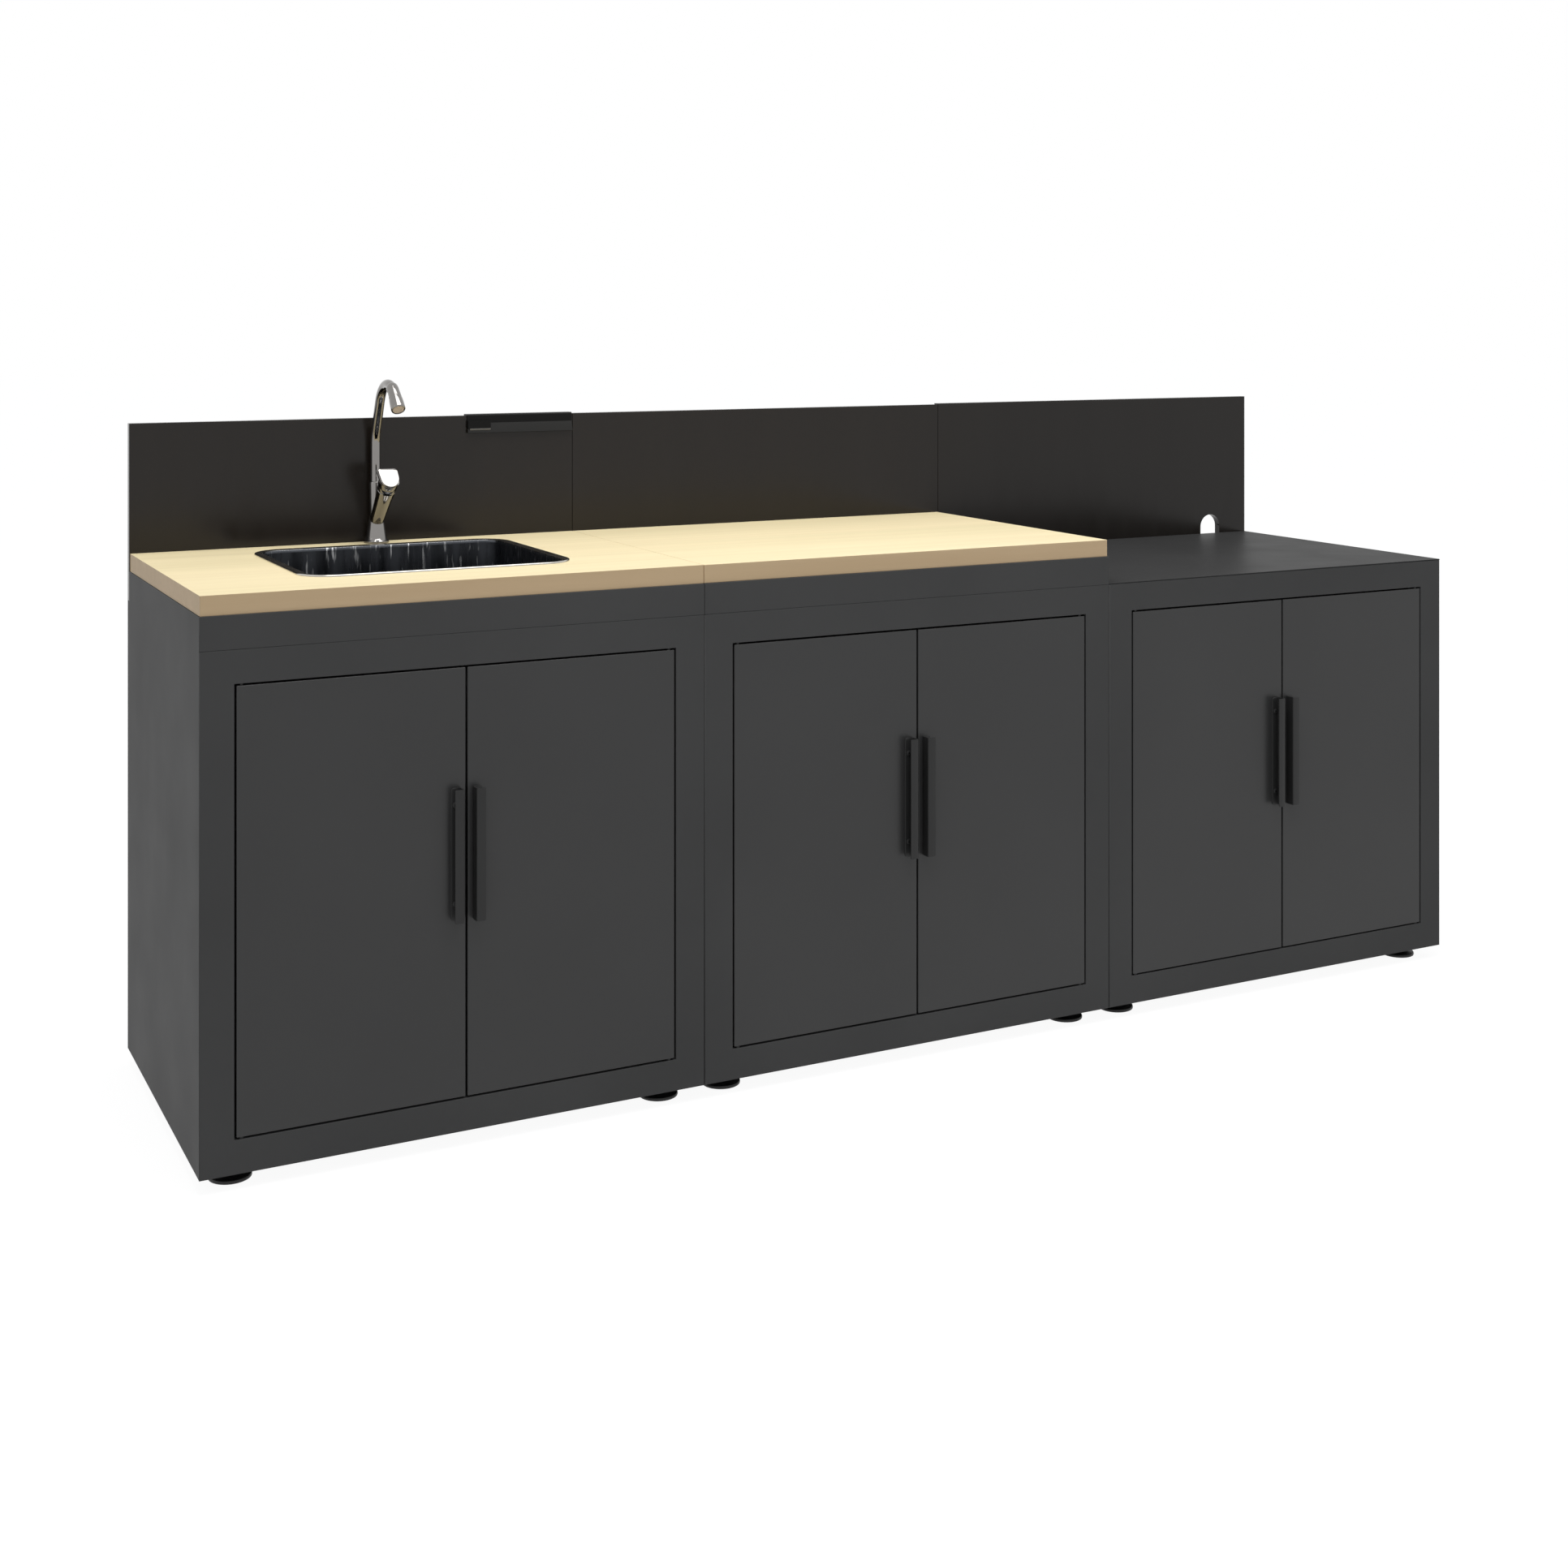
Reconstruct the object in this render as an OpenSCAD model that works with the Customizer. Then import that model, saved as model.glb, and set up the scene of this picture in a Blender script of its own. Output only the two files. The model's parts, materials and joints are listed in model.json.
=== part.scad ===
// Outdoor kitchen: a row of three steel cabinets with a sink, a tap, wooden worktops and splash panels.
// Millimetres, +Z up, front towards -Y. The origin is on the ground under the middle of the row.

/* [Row] */
// Distance from one cabinet to the next
pitch = 800; // [740:10:900]
// Open joint between two cabinets
seam = 0.8; // [0.5:0.1:1.5]

/* [Cabinet] */
// Depth of a cabinet from front to back
depth = 600; // [540:5:680]
// Height of a cabinet above its feet
body_h = 760; // [700:5:820]
// Thickness of the folded steel sheet
sheet = 1.5; // [1:0.1:2]
// Width of the frame's face round the doors
border = 50; // [46:1:60]
// Depth of the frame's turned-in edge
return_d = 36; // [34:1:44]
// Width of the turned-in edges of the panels
flange = 26; // [20:1:32]
// Height of the shelf in the middle cabinet above the cabinet's underside
shelf_h = 370; // [300:5:440]
// Width of the ledges that carry the shelf
ledge_w = 14; // [10:1:20]
// Depth of the shelf's turned-down edges
shelf_edge = 20; // [12:1:30]
// Gap between the shelf and what is beside it
shelf_play = 1; // [0.5:0.1:2]

/* [Doors] */
// Gap between a door and the frame, and between the two doors
door_gap = 3; // [2.6:0.1:4]
// Thickness of a door
door_t = 18; // [16:0.5:20]
// Width of the lip folded in at the back of a door
door_lip = 14; // [12:1:20]
// Distance of a hinge axis from the door's outer edge
hinge_in = 8; // [7:0.5:10]
// Distance of a hinge axis behind the door's face
hinge_back = 6; // [5:0.25:6.5]
// Radius of a hinge pin
pin_r = 3; // [2:0.1:3.2]
// Radial clearance of a pin, stem or tube that turns or slides in its bore
play = 0.05; // [0.02:0.01:0.1]
// Length of a hinge pin inside the door
pin_in = 12; // [8:1:16]
// Thickness of a hinge pin's head
pin_head_t = 2; // [1:0.5:3]
// Air between a hinge pin's head and the frame's face
pin_head_air = 0.3; // [0.2:0.1:0.4]
// Width of a magnetic catch
catch_w = 60; // [40:1:80]
// Depth of a magnetic catch
catch_d = 14; // [10:0.5:15]
// Height of a magnetic catch
catch_h = 12; // [8:1:20]
// Air between a catch and a closed door
catch_air = 0.3; // [0.2:0.1:0.6]

/* [Handles] */
// Height of a handle
handle_h = 202; // [150:2:260]
// Reach of a handle in front of the door
handle_reach = 20; // [16:1:26]
// Width of the handle's foot that lies on the door
handle_foot = 16; // [14:1:22]
// Width of the handle's front lip
handle_lip = 15; // [9:0.5:16]
// Thickness of the handle's sheet
handle_t = 2; // [1.5:0.1:3]
// Distance of a handle from the free edge of its door
handle_edge = 8; // [6:0.5:20]
// Height of a handle's middle above the middle of its door
handle_up = 44; // [0:2:90]
// Corner radius of the handle's foot
handle_corner = 5; // [3:0.5:6]
// Radius of a handle screw
screw_r = 2.4; // [1.8:0.1:2.6]
// Radius of a handle screw's head
screw_head_r = 4.4; // [3.6:0.1:4.8]
// Thickness of a handle screw's head
screw_head_t = 2; // [1.5:0.1:2.5]
// Distance of a handle screw from the end of its handle
screw_end = 26; // [12:1:40]

/* [Feet] */
// Height of the gap under the cabinets
foot_h = 24; // [20:1:40]
// Radius of a foot's disc
foot_r = 32; // [30:1:40]
// Height of the straight edge of a foot's disc
foot_rim = 5; // [3:0.5:8]
// Radius of a foot's neck
neck_r = 12; // [11:0.5:16]
// Distance of a foot from the cabinet's side
foot_x = 56; // [45:1:90]
// Distance of a foot from the cabinet's front and back
foot_y = 58; // [50:1:90]
// Radius of a foot's threaded stem
stem_r = 5; // [4:0.5:6]
// Length of the stem inside the cabinet's base
stem_up = 34; // [25:1:38]
// Wall of the threaded boss round a stem
boss_wall = 5; // [3:0.5:8]

/* [Worktop] */
// Height of the steel riser under the worktop
riser_h = 50; // [40:1:80]
// Thickness of the wooden worktop
wood_t = 30; // [24:1:40]
// How far the wood lies behind the riser's front
wood_front = 3; // [0:0.5:8]
// How far the wood lies in from the end of the row of worktops
wood_end = 1.5; // [0:0.5:6]
// Width of the riser's back edge that carries the wood
riser_back = 8; // [6:0.5:12]
// Thickness of the bare steel deck on the right cabinet
deck_t = 2; // [1.5:0.5:4]
// Width of a stiffening channel under the deck
rib_w = 40; // [25:1:60]
// Depth of a stiffening channel under the deck
rib_h = 20; // [12:1:30]

/* [Splash panels] */
// Height of a splash panel above the cabinet
splash_h = 300; // [240:5:400]
// Thickness of a splash panel
splash_t = 15; // [12:0.5:20]
// Width of the lips at the back of a splash panel
splash_lip = 20; // [12:1:30]
// Width of the arched cable opening
arch_w = 52; // [40:1:80]
// Height of the arched cable opening
arch_h = 41; // [40:1:80]
// Distance of the arch from the right end of its panel
arch_end = 97; // [70:1:200]
// Length of the rail that hooks over the left splash panel
rail_len = 203; // [120:1:300]
// Distance of the rail from the right end of its panel
rail_end = 2; // [0:0.5:40]
// Thickness of the rail's sheet
rail_t = 2; // [1.5:0.1:3]
// Air between the rail and the panel
rail_air = 0.4; // [0.3:0.1:0.8]
// Depth of the rail's straight front leg
rail_leg = 14; // [10:1:20]
// Depth of the rail's sloping apron
rail_apron = 18; // [10:1:24]
// How far the apron stands out at its foot
rail_out = 5; // [2:0.5:6]
// Depth of the rail's back leg
rail_back = 20; // [12:1:30]
// Length of the dark tab at the rail's left end
tab_len = 43; // [20:1:60]

/* [Sink] */
// Distance of the sink's middle from the cabinet's left side
sink_x = 408; // [380:1:430]
// Gap between the sink's rim and the tap's base
sink_gap = 23; // [1:0.5:30]
// Width of the sink's rim
sink_w = 450; // [400:5:480]
// Depth of the sink's rim from front to back
sink_d = 390; // [340:5:430]
// Height of the rim above the wood
rim_t = 3; // [2:0.5:4]
// Width of the rim's flat
rim_w = 15; // [12:1:30]
// Corner radius of the rim
rim_r = 55; // [25:1:60]
// Depth of the bowl below the wood
bowl_h = 165; // [120:5:200]
// Corner radius of the bowl
bowl_r = 32; // [24:1:50]
// Radius where the bowl's walls meet its floor
bowl_floor_r = 24; // [12:1:24]
// Thickness of the bowl's sheet
bowl_t = 1.2; // [0.8:0.1:2]
// Gap between the bowl and the edge of the wood's cut-out
cutout_gap = 4; // [3:0.5:6]
// Inner radius of the waste cup in the bowl's floor
waste_r = 40; // [35:0.5:50]
// Depth of the waste cup
waste_h = 36; // [28:1:50]
// Thickness of the waste cup's wall
waste_t = 2; // [1.5:0.1:3]
// Width of the waste cup's flange
waste_rim = 10; // [6:1:14]
// Air round the lift-out strainer
strainer_air = 0.4; // [0.3:0.1:0.8]
// Width of a slot in the strainer's floor
slot_w = 3; // [2:0.5:4]
// Length of a slot in the strainer's floor
slot_len = 20; // [10:1:24]
// Distance of a slot from the middle of the strainer
slot_in = 10; // [8:0.5:12]
// Number of slots in the strainer's floor
slots = 8; // [4:1:12]
// Radius of the strainer's knob
knob_r = 13; // [8:0.5:18]
// Radius of the post that carries the knob
post_r = 5; // [3:0.5:7]
// Outer radius of the waste pipes
pipe_r = 20; // [16:0.5:25]
// Wall of the waste pipes
pipe_t = 2; // [1.5:0.1:3]
// Radius of the bottle trap
trap_r = 34; // [30:1:45]
// Height of the bottle trap
trap_h = 120; // [90:5:160]
// Distance between the waste cup and the trap
trap_drop = 30; // [20:1:60]
// Length of the nut on the trap's outlet
outlet_nut = 24; // [16:1:40]
// Length of the relief between the nut and the outlet pipe's straight end
relief_w = 2; // [1:0.5:4]
// Depth of the relief
relief_t = 0.5; // [0.4:0.1:0.8]
// Width of the service opening in the back of the sink cabinet
port_w = 180; // [150:5:260]
// Height of the service opening
port_h = 90; // [80:5:140]
// Distance of the trap's outlet from the left edge of the service opening
port_pipe = 45; // [40:1:60]

/* [Tap] */
// Distance of the tap from the cabinet's left side
tap_x = 419; // [380:1:440]
// Distance of the tap in front of the splash panel
tap_back = 25; // [24:0.5:30]
// Radius of the tap's base
tap_base_r = 22; // [18:0.5:22]
// Height of the base's straight edge
tap_base_h = 4; // [2:0.5:6]
// How far the base's sloping step lies in from its straight edge
tap_base_step = 1; // [0.5:0.5:2]
// Radius of the tap's cone at its foot
cone_r = 18; // [15:0.5:20]
// Radius of the tap's cone at its top
cone_top_r = 13; // [13:0.5:14.5]
// Height of the cone's top above the wood
cone_h = 46; // [40:1:60]
// Lean of the mixer towards the front, in degrees
lean = 45; // [35:1:50]
// Length of the leaning mixer
mixer_len = 94; // [85:1:110]
// Radius of the mixer at its foot
mixer_r = 12.5; // [11:0.5:13]
// Radius of the mixer at its head
mixer_top_r = 16.8; // [16.6:0.1:17.4]
// Radius of the ball under the lever
ball_r = 16.3; // [15.5:0.1:16.4]
// Height of the ring under the ball
ring_h = 4; // [3:0.5:6]
// Wall of the lever's cap
cap_t = 2; // [1.5:0.1:2.5]
// Height of the cap's edge above the middle of the ball
cap_up = 6; // [5:0.5:8]
// Air between the ball and the cap
cap_air = 0.3; // [0.2:0.1:0.4]
// Width of the lever's plate
lever_w = 36; // [36:0.5:40]
// Length of the lever's plate
lever_len = 43; // [42:1:56]
// Thickness of the lever's plate
lever_t = 6; // [4:0.5:6]
// Distance from the middle of the ball to the upper face of the lever's plate
lever_up = 22.5; // [22:0.5:26]
// How far the lever's plate reaches up beyond the middle of the ball
lever_back = 24; // [22:0.5:28]
// Length of the rounded tip of the lever's plate
lever_tip = 24; // [18:1:26]
// Radius of the upper corners of the lever's plate
lever_corner = 7; // [3:0.5:8]
// Radius of the spout's tube
tube_r = 8.5; // [7:0.5:9]
// Distance of the spout's tube behind the tap's middle
tube_back = 7; // [5:0.5:8]
// Height above the wood at which the spout starts to lean
spout_h = 175; // [150:5:220]
// Lean of the spout between its two bends, in degrees
spout_lean = 25; // [10:1:35]
// Radius of the spout's lower bend
lean_r = 60; // [40:1:90]
// Length of the spout between its two bends
lean_len = 56; // [30:1:80]
// Radius of the spout's upper bend
bend_r = 55; // [40:1:70]
// How far round the spout bends in all, in degrees
bend_angle = 137; // [120:1:165]
// How far the ring where the spout begins to lean stands out from the tube
lean_ring_t = 0.2; // [0.1:0.1:0.6]
// How far that ring reaches to both sides of the joint, in degrees
lean_ring = 0.6; // [0.4:0.1:1.5]
// How far round the outlet head follows the upper bend, in degrees
head_bend = 24; // [10:1:40]
// Radius of the outlet head where it follows the bend
head_neck_r = 10.5; // [9.5:0.5:11.5]
// How far the bent neck laps over the tube, in degrees
neck_lap = 1; // [0.5:0.5:3]
// How far the outlet head laps over its bent neck
head_lap = 1; // [0.5:0.5:2]
// How far the lapping edge stands out from the neck
head_step = 0.2; // [0.1:0.1:0.5]
// Length over which the outlet head widens
head_flare = 12; // [6:1:16]
// Radius of the outlet head's straight end
head_r = 12.5; // [12:0.5:14]
// Length of the outlet head's straight end
head_len = 22; // [16:1:30]
// Radius of the tap's threaded shank
shank_r = 15; // [13:0.5:16]
// Length of the shank below the wood
shank_down = 22; // [16:1:30]
// Radius of the shank's nut over its corners
nut_r = 22; // [20:0.5:24]
// Thickness of the shank's nut
nut_t = 8; // [5:0.5:12]
// Wall of the tap's socket round the spout
socket_t = 2.5; // [2:0.5:4]
// Height of the socket's top above the wood
socket_h = 108; // [60:1:120]
// Radius of a water inlet
inlet_r = 5; // [4:0.25:5.5]
// Distance of a water inlet from the middle of the shank
inlet_out = 9; // [7:0.5:9.5]
// Length of a water inlet below the shank
inlet_len = 32; // [24:1:60]

/* [Joining bolts] */
// Radius of a bolt that joins two cabinets
bolt_r = 3; // [2:0.5:4]
// How far a bolt's head stands out beyond the bolt
bolt_rim = 2.5; // [2:0.5:4]
// Thickness of a bolt's low head and thin nut
bolt_head_t = 3.5; // [3:0.5:6]
// Distance of a bolt from the front or back of its cabinet
bolt_y = 90; // [60:5:140]
// Distance of a bolt from the top or bottom of its cabinet
bolt_z = 120; // [70:5:200]

/* [Hidden] */
$fn = 64;
cut = 1;
facet = 32;
bend_step = 18;
slice = 0.1;
SINK = 0;
PREP = 1;
GRILL = 2;
LEFT = 0;
RIGHT = 1;
body_w = pitch - seam;
row_w = 3 * pitch - seam;
row_left = -row_w / 2;
front_y = (handle_reach - depth - rail_air - rail_t) / 2;
open_w = body_w - 2 * border;
open_h = body_h - 2 * border;
door_w = (open_w - 3 * door_gap) / 2;
door_h = open_h - 2 * door_gap;
hinge_x = border + door_gap + hinge_in;
base_h = border - sheet;
boss_r = stem_r + boss_wall;
flare_r = foot_h - foot_rim;
top_d = depth - splash_t;
wood_z = body_h + riser_h;
top_z = wood_z + wood_t;
screw_len = handle_t + sheet + screw_head_t;
screw_hole_r = screw_r + play;
bush_r = hinge_in - sheet;
pin_head_r = hinge_back - sheet - pin_head_air;
bolt_hole_r = bolt_r + play;
shelf_in = return_d + shelf_play;
tap_y = top_d - tap_back;
sink_y = tap_y - tap_base_r - sink_gap - sink_d / 2;
tube_y = tap_y + tube_back;
ball_y = tap_y - mixer_len * sin(lean);
mixer_foot = cone_h - mixer_r * sin(lean);
ball_z = top_z + mixer_foot + mixer_len * cos(lean);
cap_r = ball_r + cap_air + cap_t;
cap_side = sqrt(cap_r * cap_r - cap_up * cap_up);
spout_turn = bend_angle - spout_lean;
tube_foot = cone_h - 2 * tube_r;
waste_out_r = waste_r + waste_t;
bowl_floor = top_z - bowl_h;
cup_floor = bowl_floor - waste_h;
trap_top = cup_floor - trap_drop;
outlet_z = trap_top - pipe_r - 2 * pipe_t;
port_x = sink_x - port_pipe;
port_z = outlet_z - port_h / 2;
paint = [0.19, 0.19, 0.195];
door_paint = [0.22, 0.22, 0.225];
splash_paint = [0.13, 0.13, 0.13];
handle_black = [0.07, 0.07, 0.07];
foot_black = [0.08, 0.08, 0.08];
pale_wood = [0.93, 0.82, 0.62];
stainless = [0.75, 0.76, 0.78];
chrome = [0.85, 0.86, 0.88];
zinc = [0.62, 0.63, 0.65];
white_plastic = [0.9, 0.9, 0.9];

// Puts its children in the frame of one cabinet: left front corner of the underside
module cabinet(place) {
    translate([row_left + place * pitch, front_y, foot_h]) children();
}

// Mirrors its children to the right half of a cabinet
module on_side(side) {
    if (side == LEFT) children();
    else translate([body_w, 0, 0]) mirror([1, 0, 0]) children();
}

// Puts its children at the four corners of a rectangle
module corners(x, y, w, d) {
    for (i = [x, w - x], j = [y, d - y]) translate([i, j, 0]) children();
}

// Flat outline of a rectangle with round corners
module rounded(w, d, r) {
    translate([-w / 2 + r, -d / 2]) square([w - 2 * r, d]);
    translate([-w / 2, -d / 2 + r]) square([w, d - 2 * r]);
    for (i = [-1, 1], j = [-1, 1]) translate([i * (w / 2 - r), j * (d / 2 - r)]) circle(r);
}

// Flat outline of a strip with its two outer corners rounded
module tab(w, h, r) {
    translate([0, r]) square([w, h - 2 * r]);
    translate([r, 0]) square([w - r, h]);
    for (j = [r, h - r]) translate([r, j]) circle(r);
}

// The four places of the bolts on a cabinet's side
module bolt_places() {
    for (y = [bolt_y, depth - bolt_y], z = [bolt_z, body_h - bolt_z])
        translate([0, y, z]) rotate([0, 90, 0]) children();
}

// Side wall with turned-in edges; the sink's end wall is taller and hides the riser, the others take bolts
module side_wall(side, height = body_h, bolted = true, ledge = false) {
    color(paint) on_side(side) difference() {
        union() {
            translate([0, sheet, 0]) cube([sheet, depth - 2 * sheet, body_h]);
            translate([0, sheet, 0]) cube([sheet, top_d - sheet, height]);
            for (y = [sheet, depth - 2 * sheet]) translate([0, y, 0]) cube([flange, sheet, body_h]);
            translate([0, sheet, body_h - sheet]) cube([flange, depth - 2 * sheet, sheet]);
            if (ledge) translate([0, shelf_in, shelf_h - sheet])
                cube([ledge_w, depth - 2 * shelf_in, sheet]);
        }
        if (bolted) bolt_places() translate([0, 0, -cut]) cylinder(r = bolt_hole_r, h = sheet + 2 * cut);
    }
}

// Floor of a cabinet, folded down all round, with a threaded boss for each foot
module base_pan() {
    color(paint) difference() {
        union() {
            difference() {
                translate([sheet, 2 * sheet, 0]) cube([body_w - 2 * sheet, depth - 4 * sheet, base_h]);
                translate([2 * sheet, 3 * sheet, -cut])
                    cube([body_w - 4 * sheet, depth - 6 * sheet, base_h - sheet + cut]);
            }
            corners(foot_x, foot_y, body_w, depth) cylinder(r = boss_r, h = stem_up + 2 * sheet);
            for (x = [sheet, body_w - sheet - foot_x - boss_r])
                translate([x, 2 * sheet, 0]) cube([foot_x + boss_r, depth - 4 * sheet, sheet]);
        }
        corners(foot_x, foot_y, body_w, depth)
            translate([0, 0, -cut]) cylinder(r = stem_r + play, h = stem_up + sheet + cut);
    }
}

// Back wall with a turned-in top edge; the sink's has an opening for the pipes
module back_wall(port = false) {
    color(paint) difference() {
        union() {
            translate([0, depth - sheet, 0]) cube([body_w, sheet, body_h]);
            translate([flange, depth - flange, body_h - sheet]) cube([body_w - 2 * flange, flange, sheet]);
        }
        if (port) translate([port_x, depth - sheet - cut, port_z]) cube([port_w, sheet + 2 * cut, port_h]);
    }
}

// Front frame round the doors, with its inner edges turned in and a hole above each door for the upper pin
module door_frame() {
    color(paint) difference() {
        union() {
            cube([body_w, sheet, body_h]);
            translate([border - sheet, 0, border - sheet])
                cube([open_w + 2 * sheet, return_d, open_h + 2 * sheet]);
        }
        translate([border, -cut, border]) cube([open_w, return_d + 2 * cut, open_h]);
        for (side = [LEFT, RIGHT]) on_side(side) translate([hinge_x, hinge_back, body_h - border - cut])
            cylinder(r = pin_r + play, h = sheet + 2 * cut);
    }
}

// Shelf folded down at its front and back, lying on the ledges
module shelf() {
    w = body_w - 2 * sheet - 2 * shelf_play;
    d = depth - 2 * shelf_in;
    color(paint) translate([sheet + shelf_play, shelf_in, shelf_h]) union() {
        cube([w, d, sheet]);
        for (y = [0, d - sheet]) translate([ledge_w, y, -shelf_edge])
            cube([w - 2 * ledge_w, sheet, shelf_edge + sheet]);
    }
}

// Hollow of a panel folded from sheet and open at the back inside its lips
module pan_hollow(w, t, h, lip) {
    in = sheet + lip;
    translate([sheet, sheet, sheet]) cube([w - 2 * sheet, t - 2 * sheet, h - 2 * sheet]);
    translate([in, sheet, in]) cube([w - 2 * in, t, h - 2 * in]);
}

// Door folded from sheet, open at the back, with a bush for each pin
module door(side) {
    color(door_paint) on_side(side) translate([border + door_gap, 0, border + door_gap]) difference() {
        union() {
            difference() {
                cube([door_w, door_t, door_h]);
                pan_hollow(door_w, door_t, door_h, door_lip);
            }
            for (z = [0, door_h - pin_in - sheet])
                translate([0, 0, z]) cube([hinge_in + bush_r, hinge_back + bush_r, pin_in + sheet]);
        }
        translate([hinge_in, hinge_back, -cut]) cylinder(r = pin_r + play, h = pin_in + sheet / 2 + cut);
        translate([hinge_in, hinge_back, door_h - pin_in - sheet / 2])
            cylinder(r = pin_r + play, h = pin_in + sheet / 2 + cut);
        handle_screw_places() translate([0, 0, -cut])
            cylinder(r = screw_hole_r, h = handle_t + sheet + 2 * cut);
    }
}

// Bottom corner of a handle on its door, at its edge towards the hinge
function handle_place() = [door_w - handle_edge - handle_foot, 0, (door_h - handle_h) / 2 + handle_up];

// The two screws of a handle, each along +Y from the face of the handle's foot
module handle_screw_places() {
    x = (handle_foot - handle_t) / 2;
    for (z = [screw_end, handle_h - screw_end])
        translate(handle_place() + [x, -handle_t, z]) rotate([-90, 0, 0]) children();
}

// Handle of folded sheet: a foot on the door, a web near the free edge and a lip turned back from it
module handle(side) {
    color(handle_black) on_side(side) translate([border + door_gap, 0, border + door_gap]) {
        difference() {
            translate(handle_place()) union() {
                rotate([90, 0, 0]) linear_extrude(handle_t) tab(handle_foot, handle_h, handle_corner);
                translate([handle_foot - handle_t, -handle_reach, 0])
                    cube([handle_t, handle_reach, handle_h]);
                translate([handle_foot - handle_lip, handle_t - handle_reach, 0]) rotate([90, 0, 0])
                    linear_extrude(handle_t) tab(handle_lip, handle_h, handle_t);
            }
            handle_screw_places() translate([0, 0, -cut])
                cylinder(r = screw_hole_r, h = handle_t + 2 * cut);
        }
        handle_screw_places() union() {
            cylinder(r = screw_r, h = screw_len);
            translate([0, 0, -screw_head_t]) cylinder(r = screw_head_r, h = screw_head_t);
        }
    }
}

// Levelling foot: a flared disc on a threaded stem
module foot(back, side) {
    color(foot_black) on_side(side) translate([foot_x, back ? depth - foot_y : foot_y, -foot_h]) union() {
        rotate_extrude() difference() {
            square([foot_r, foot_h]);
            translate([neck_r + flare_r, foot_h]) circle(flare_r);
            translate([neck_r + flare_r, foot_rim]) square(foot_h);
        }
        cylinder(r = stem_r, h = foot_h + stem_up);
    }
}

// Steel ring that lifts the worktop; on the sink's cabinet its left wall stands inside the end wall
module riser(left_in = 0, tap_notch = false) {
    notch = 2 * nut_r + 2 * cutout_gap;
    w = body_w - left_in;
    color(paint) translate([0, 0, body_h]) union() {
        cube([body_w, sheet, riser_h]);
        for (x = [left_in, body_w - sheet]) translate([x, 0, 0]) cube([sheet, top_d, riser_h]);
        translate([left_in, top_d - sheet, 0]) cube([w, sheet, riser_h]);
        difference() {
            for (z = [0, riser_h - sheet]) translate([left_in, 0, z]) cube([w, top_d, sheet]);
            translate([left_in + flange, flange, -cut])
                cube([w - 2 * flange, top_d - flange - riser_back, riser_h + 2 * cut]);
            if (tap_notch) translate([tap_x - notch / 2, tap_y - notch, 2 * sheet])
                cube([notch, notch + tap_back - sheet, riser_h]);
        }
    }
}

// Wooden worktop, set in a little at an end of the row of worktops
module worktop(left_in = 0, right_in = 0, for_sink = false) {
    hole_w = sink_w - 2 * rim_w + 2 * bowl_t + 2 * cutout_gap;
    hole_d = sink_d - 2 * rim_w + 2 * bowl_t + 2 * cutout_gap;
    color(pale_wood) difference() {
        translate([left_in, wood_front, wood_z])
            cube([body_w - left_in - right_in, top_d - wood_front, wood_t]);
        if (for_sink) {
            translate([sink_x, sink_y, wood_z - cut]) linear_extrude(wood_t + 2 * cut)
                rounded(hole_w, hole_d, bowl_r + bowl_t);
            translate([tap_x, tap_y, wood_z - cut]) cylinder(r = shank_r + play, h = wood_t + 2 * cut);
        }
    }
}

// Bare steel deck of the right cabinet, with two stiffening channels under it
module deck() {
    x = flange + sheet;
    color(paint) translate([0, 0, body_h]) union() {
        cube([body_w, top_d, deck_t]);
        for (i = [1, 2]) translate([x, i * top_d / 3 - rib_w / 2, -rib_h]) difference() {
            cube([body_w - 2 * x, rib_w, rib_h + sheet]);
            translate([-cut, sheet, sheet]) cube([body_w, rib_w - 2 * sheet, rib_h - sheet]);
        }
    }
}

// Splash panel folded from sheet and open at the back; one with an arch is taller by the deck
module splash(arch = false) {
    h = arch ? splash_h + deck_t : splash_h;
    color(splash_paint) translate([0, top_d, body_h]) difference() {
        union() {
            difference() {
                cube([body_w, splash_t, h]);
                pan_hollow(body_w, splash_t, h, splash_lip);
            }
            if (arch) translate([body_w - arch_end, 0, 0]) arch_block(sheet, 0, splash_t);
        }
        if (arch) translate([body_w - arch_end, -cut, 0]) arch_block(0, cut, splash_t + 2 * cut);
    }
}

// Upright arch of the cable opening above the deck, larger all round by a wall and longer below
module arch_block(wall, below, thick) {
    r = arch_w / 2;
    side_h = deck_t + arch_h - r;
    translate([0, thick, 0]) rotate([90, 0, 0]) linear_extrude(thick) {
        translate([-r - wall, -below]) square([2 * (r + wall), side_h + below]);
        translate([0, side_h]) intersection() {
            circle(r + wall);
            translate([-r - wall, -side_h]) square(2 * (r + wall) + side_h);
        }
    }
}

// Rail that hooks over the top of a splash panel, with a sloping apron and a dark tab at its left end
module rail() {
    y0 = -rail_air - rail_t;
    color(handle_black) translate([body_w - rail_end - rail_len, top_d, body_h + splash_h]) union() {
        rotate([90, 0, 90]) linear_extrude(rail_len) polygon([
            [splash_t + rail_air, -rail_back],
            [splash_t + rail_air + rail_t, -rail_back],
            [splash_t + rail_air + rail_t, rail_air + rail_t],
            [y0, rail_air + rail_t],
            [y0, -rail_leg],
            [y0 - rail_out, -rail_leg - rail_apron],
            [y0 + rail_t - rail_out, -rail_leg - rail_apron],
            [y0 + rail_t, -rail_leg],
            [y0 + rail_t, rail_air],
            [splash_t + rail_air, rail_air]]);
        translate([0, y0 - rail_out, -rail_leg - rail_apron / 2])
            cube([tab_len, rail_out + rail_t, rail_leg]);
    }
}

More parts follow.
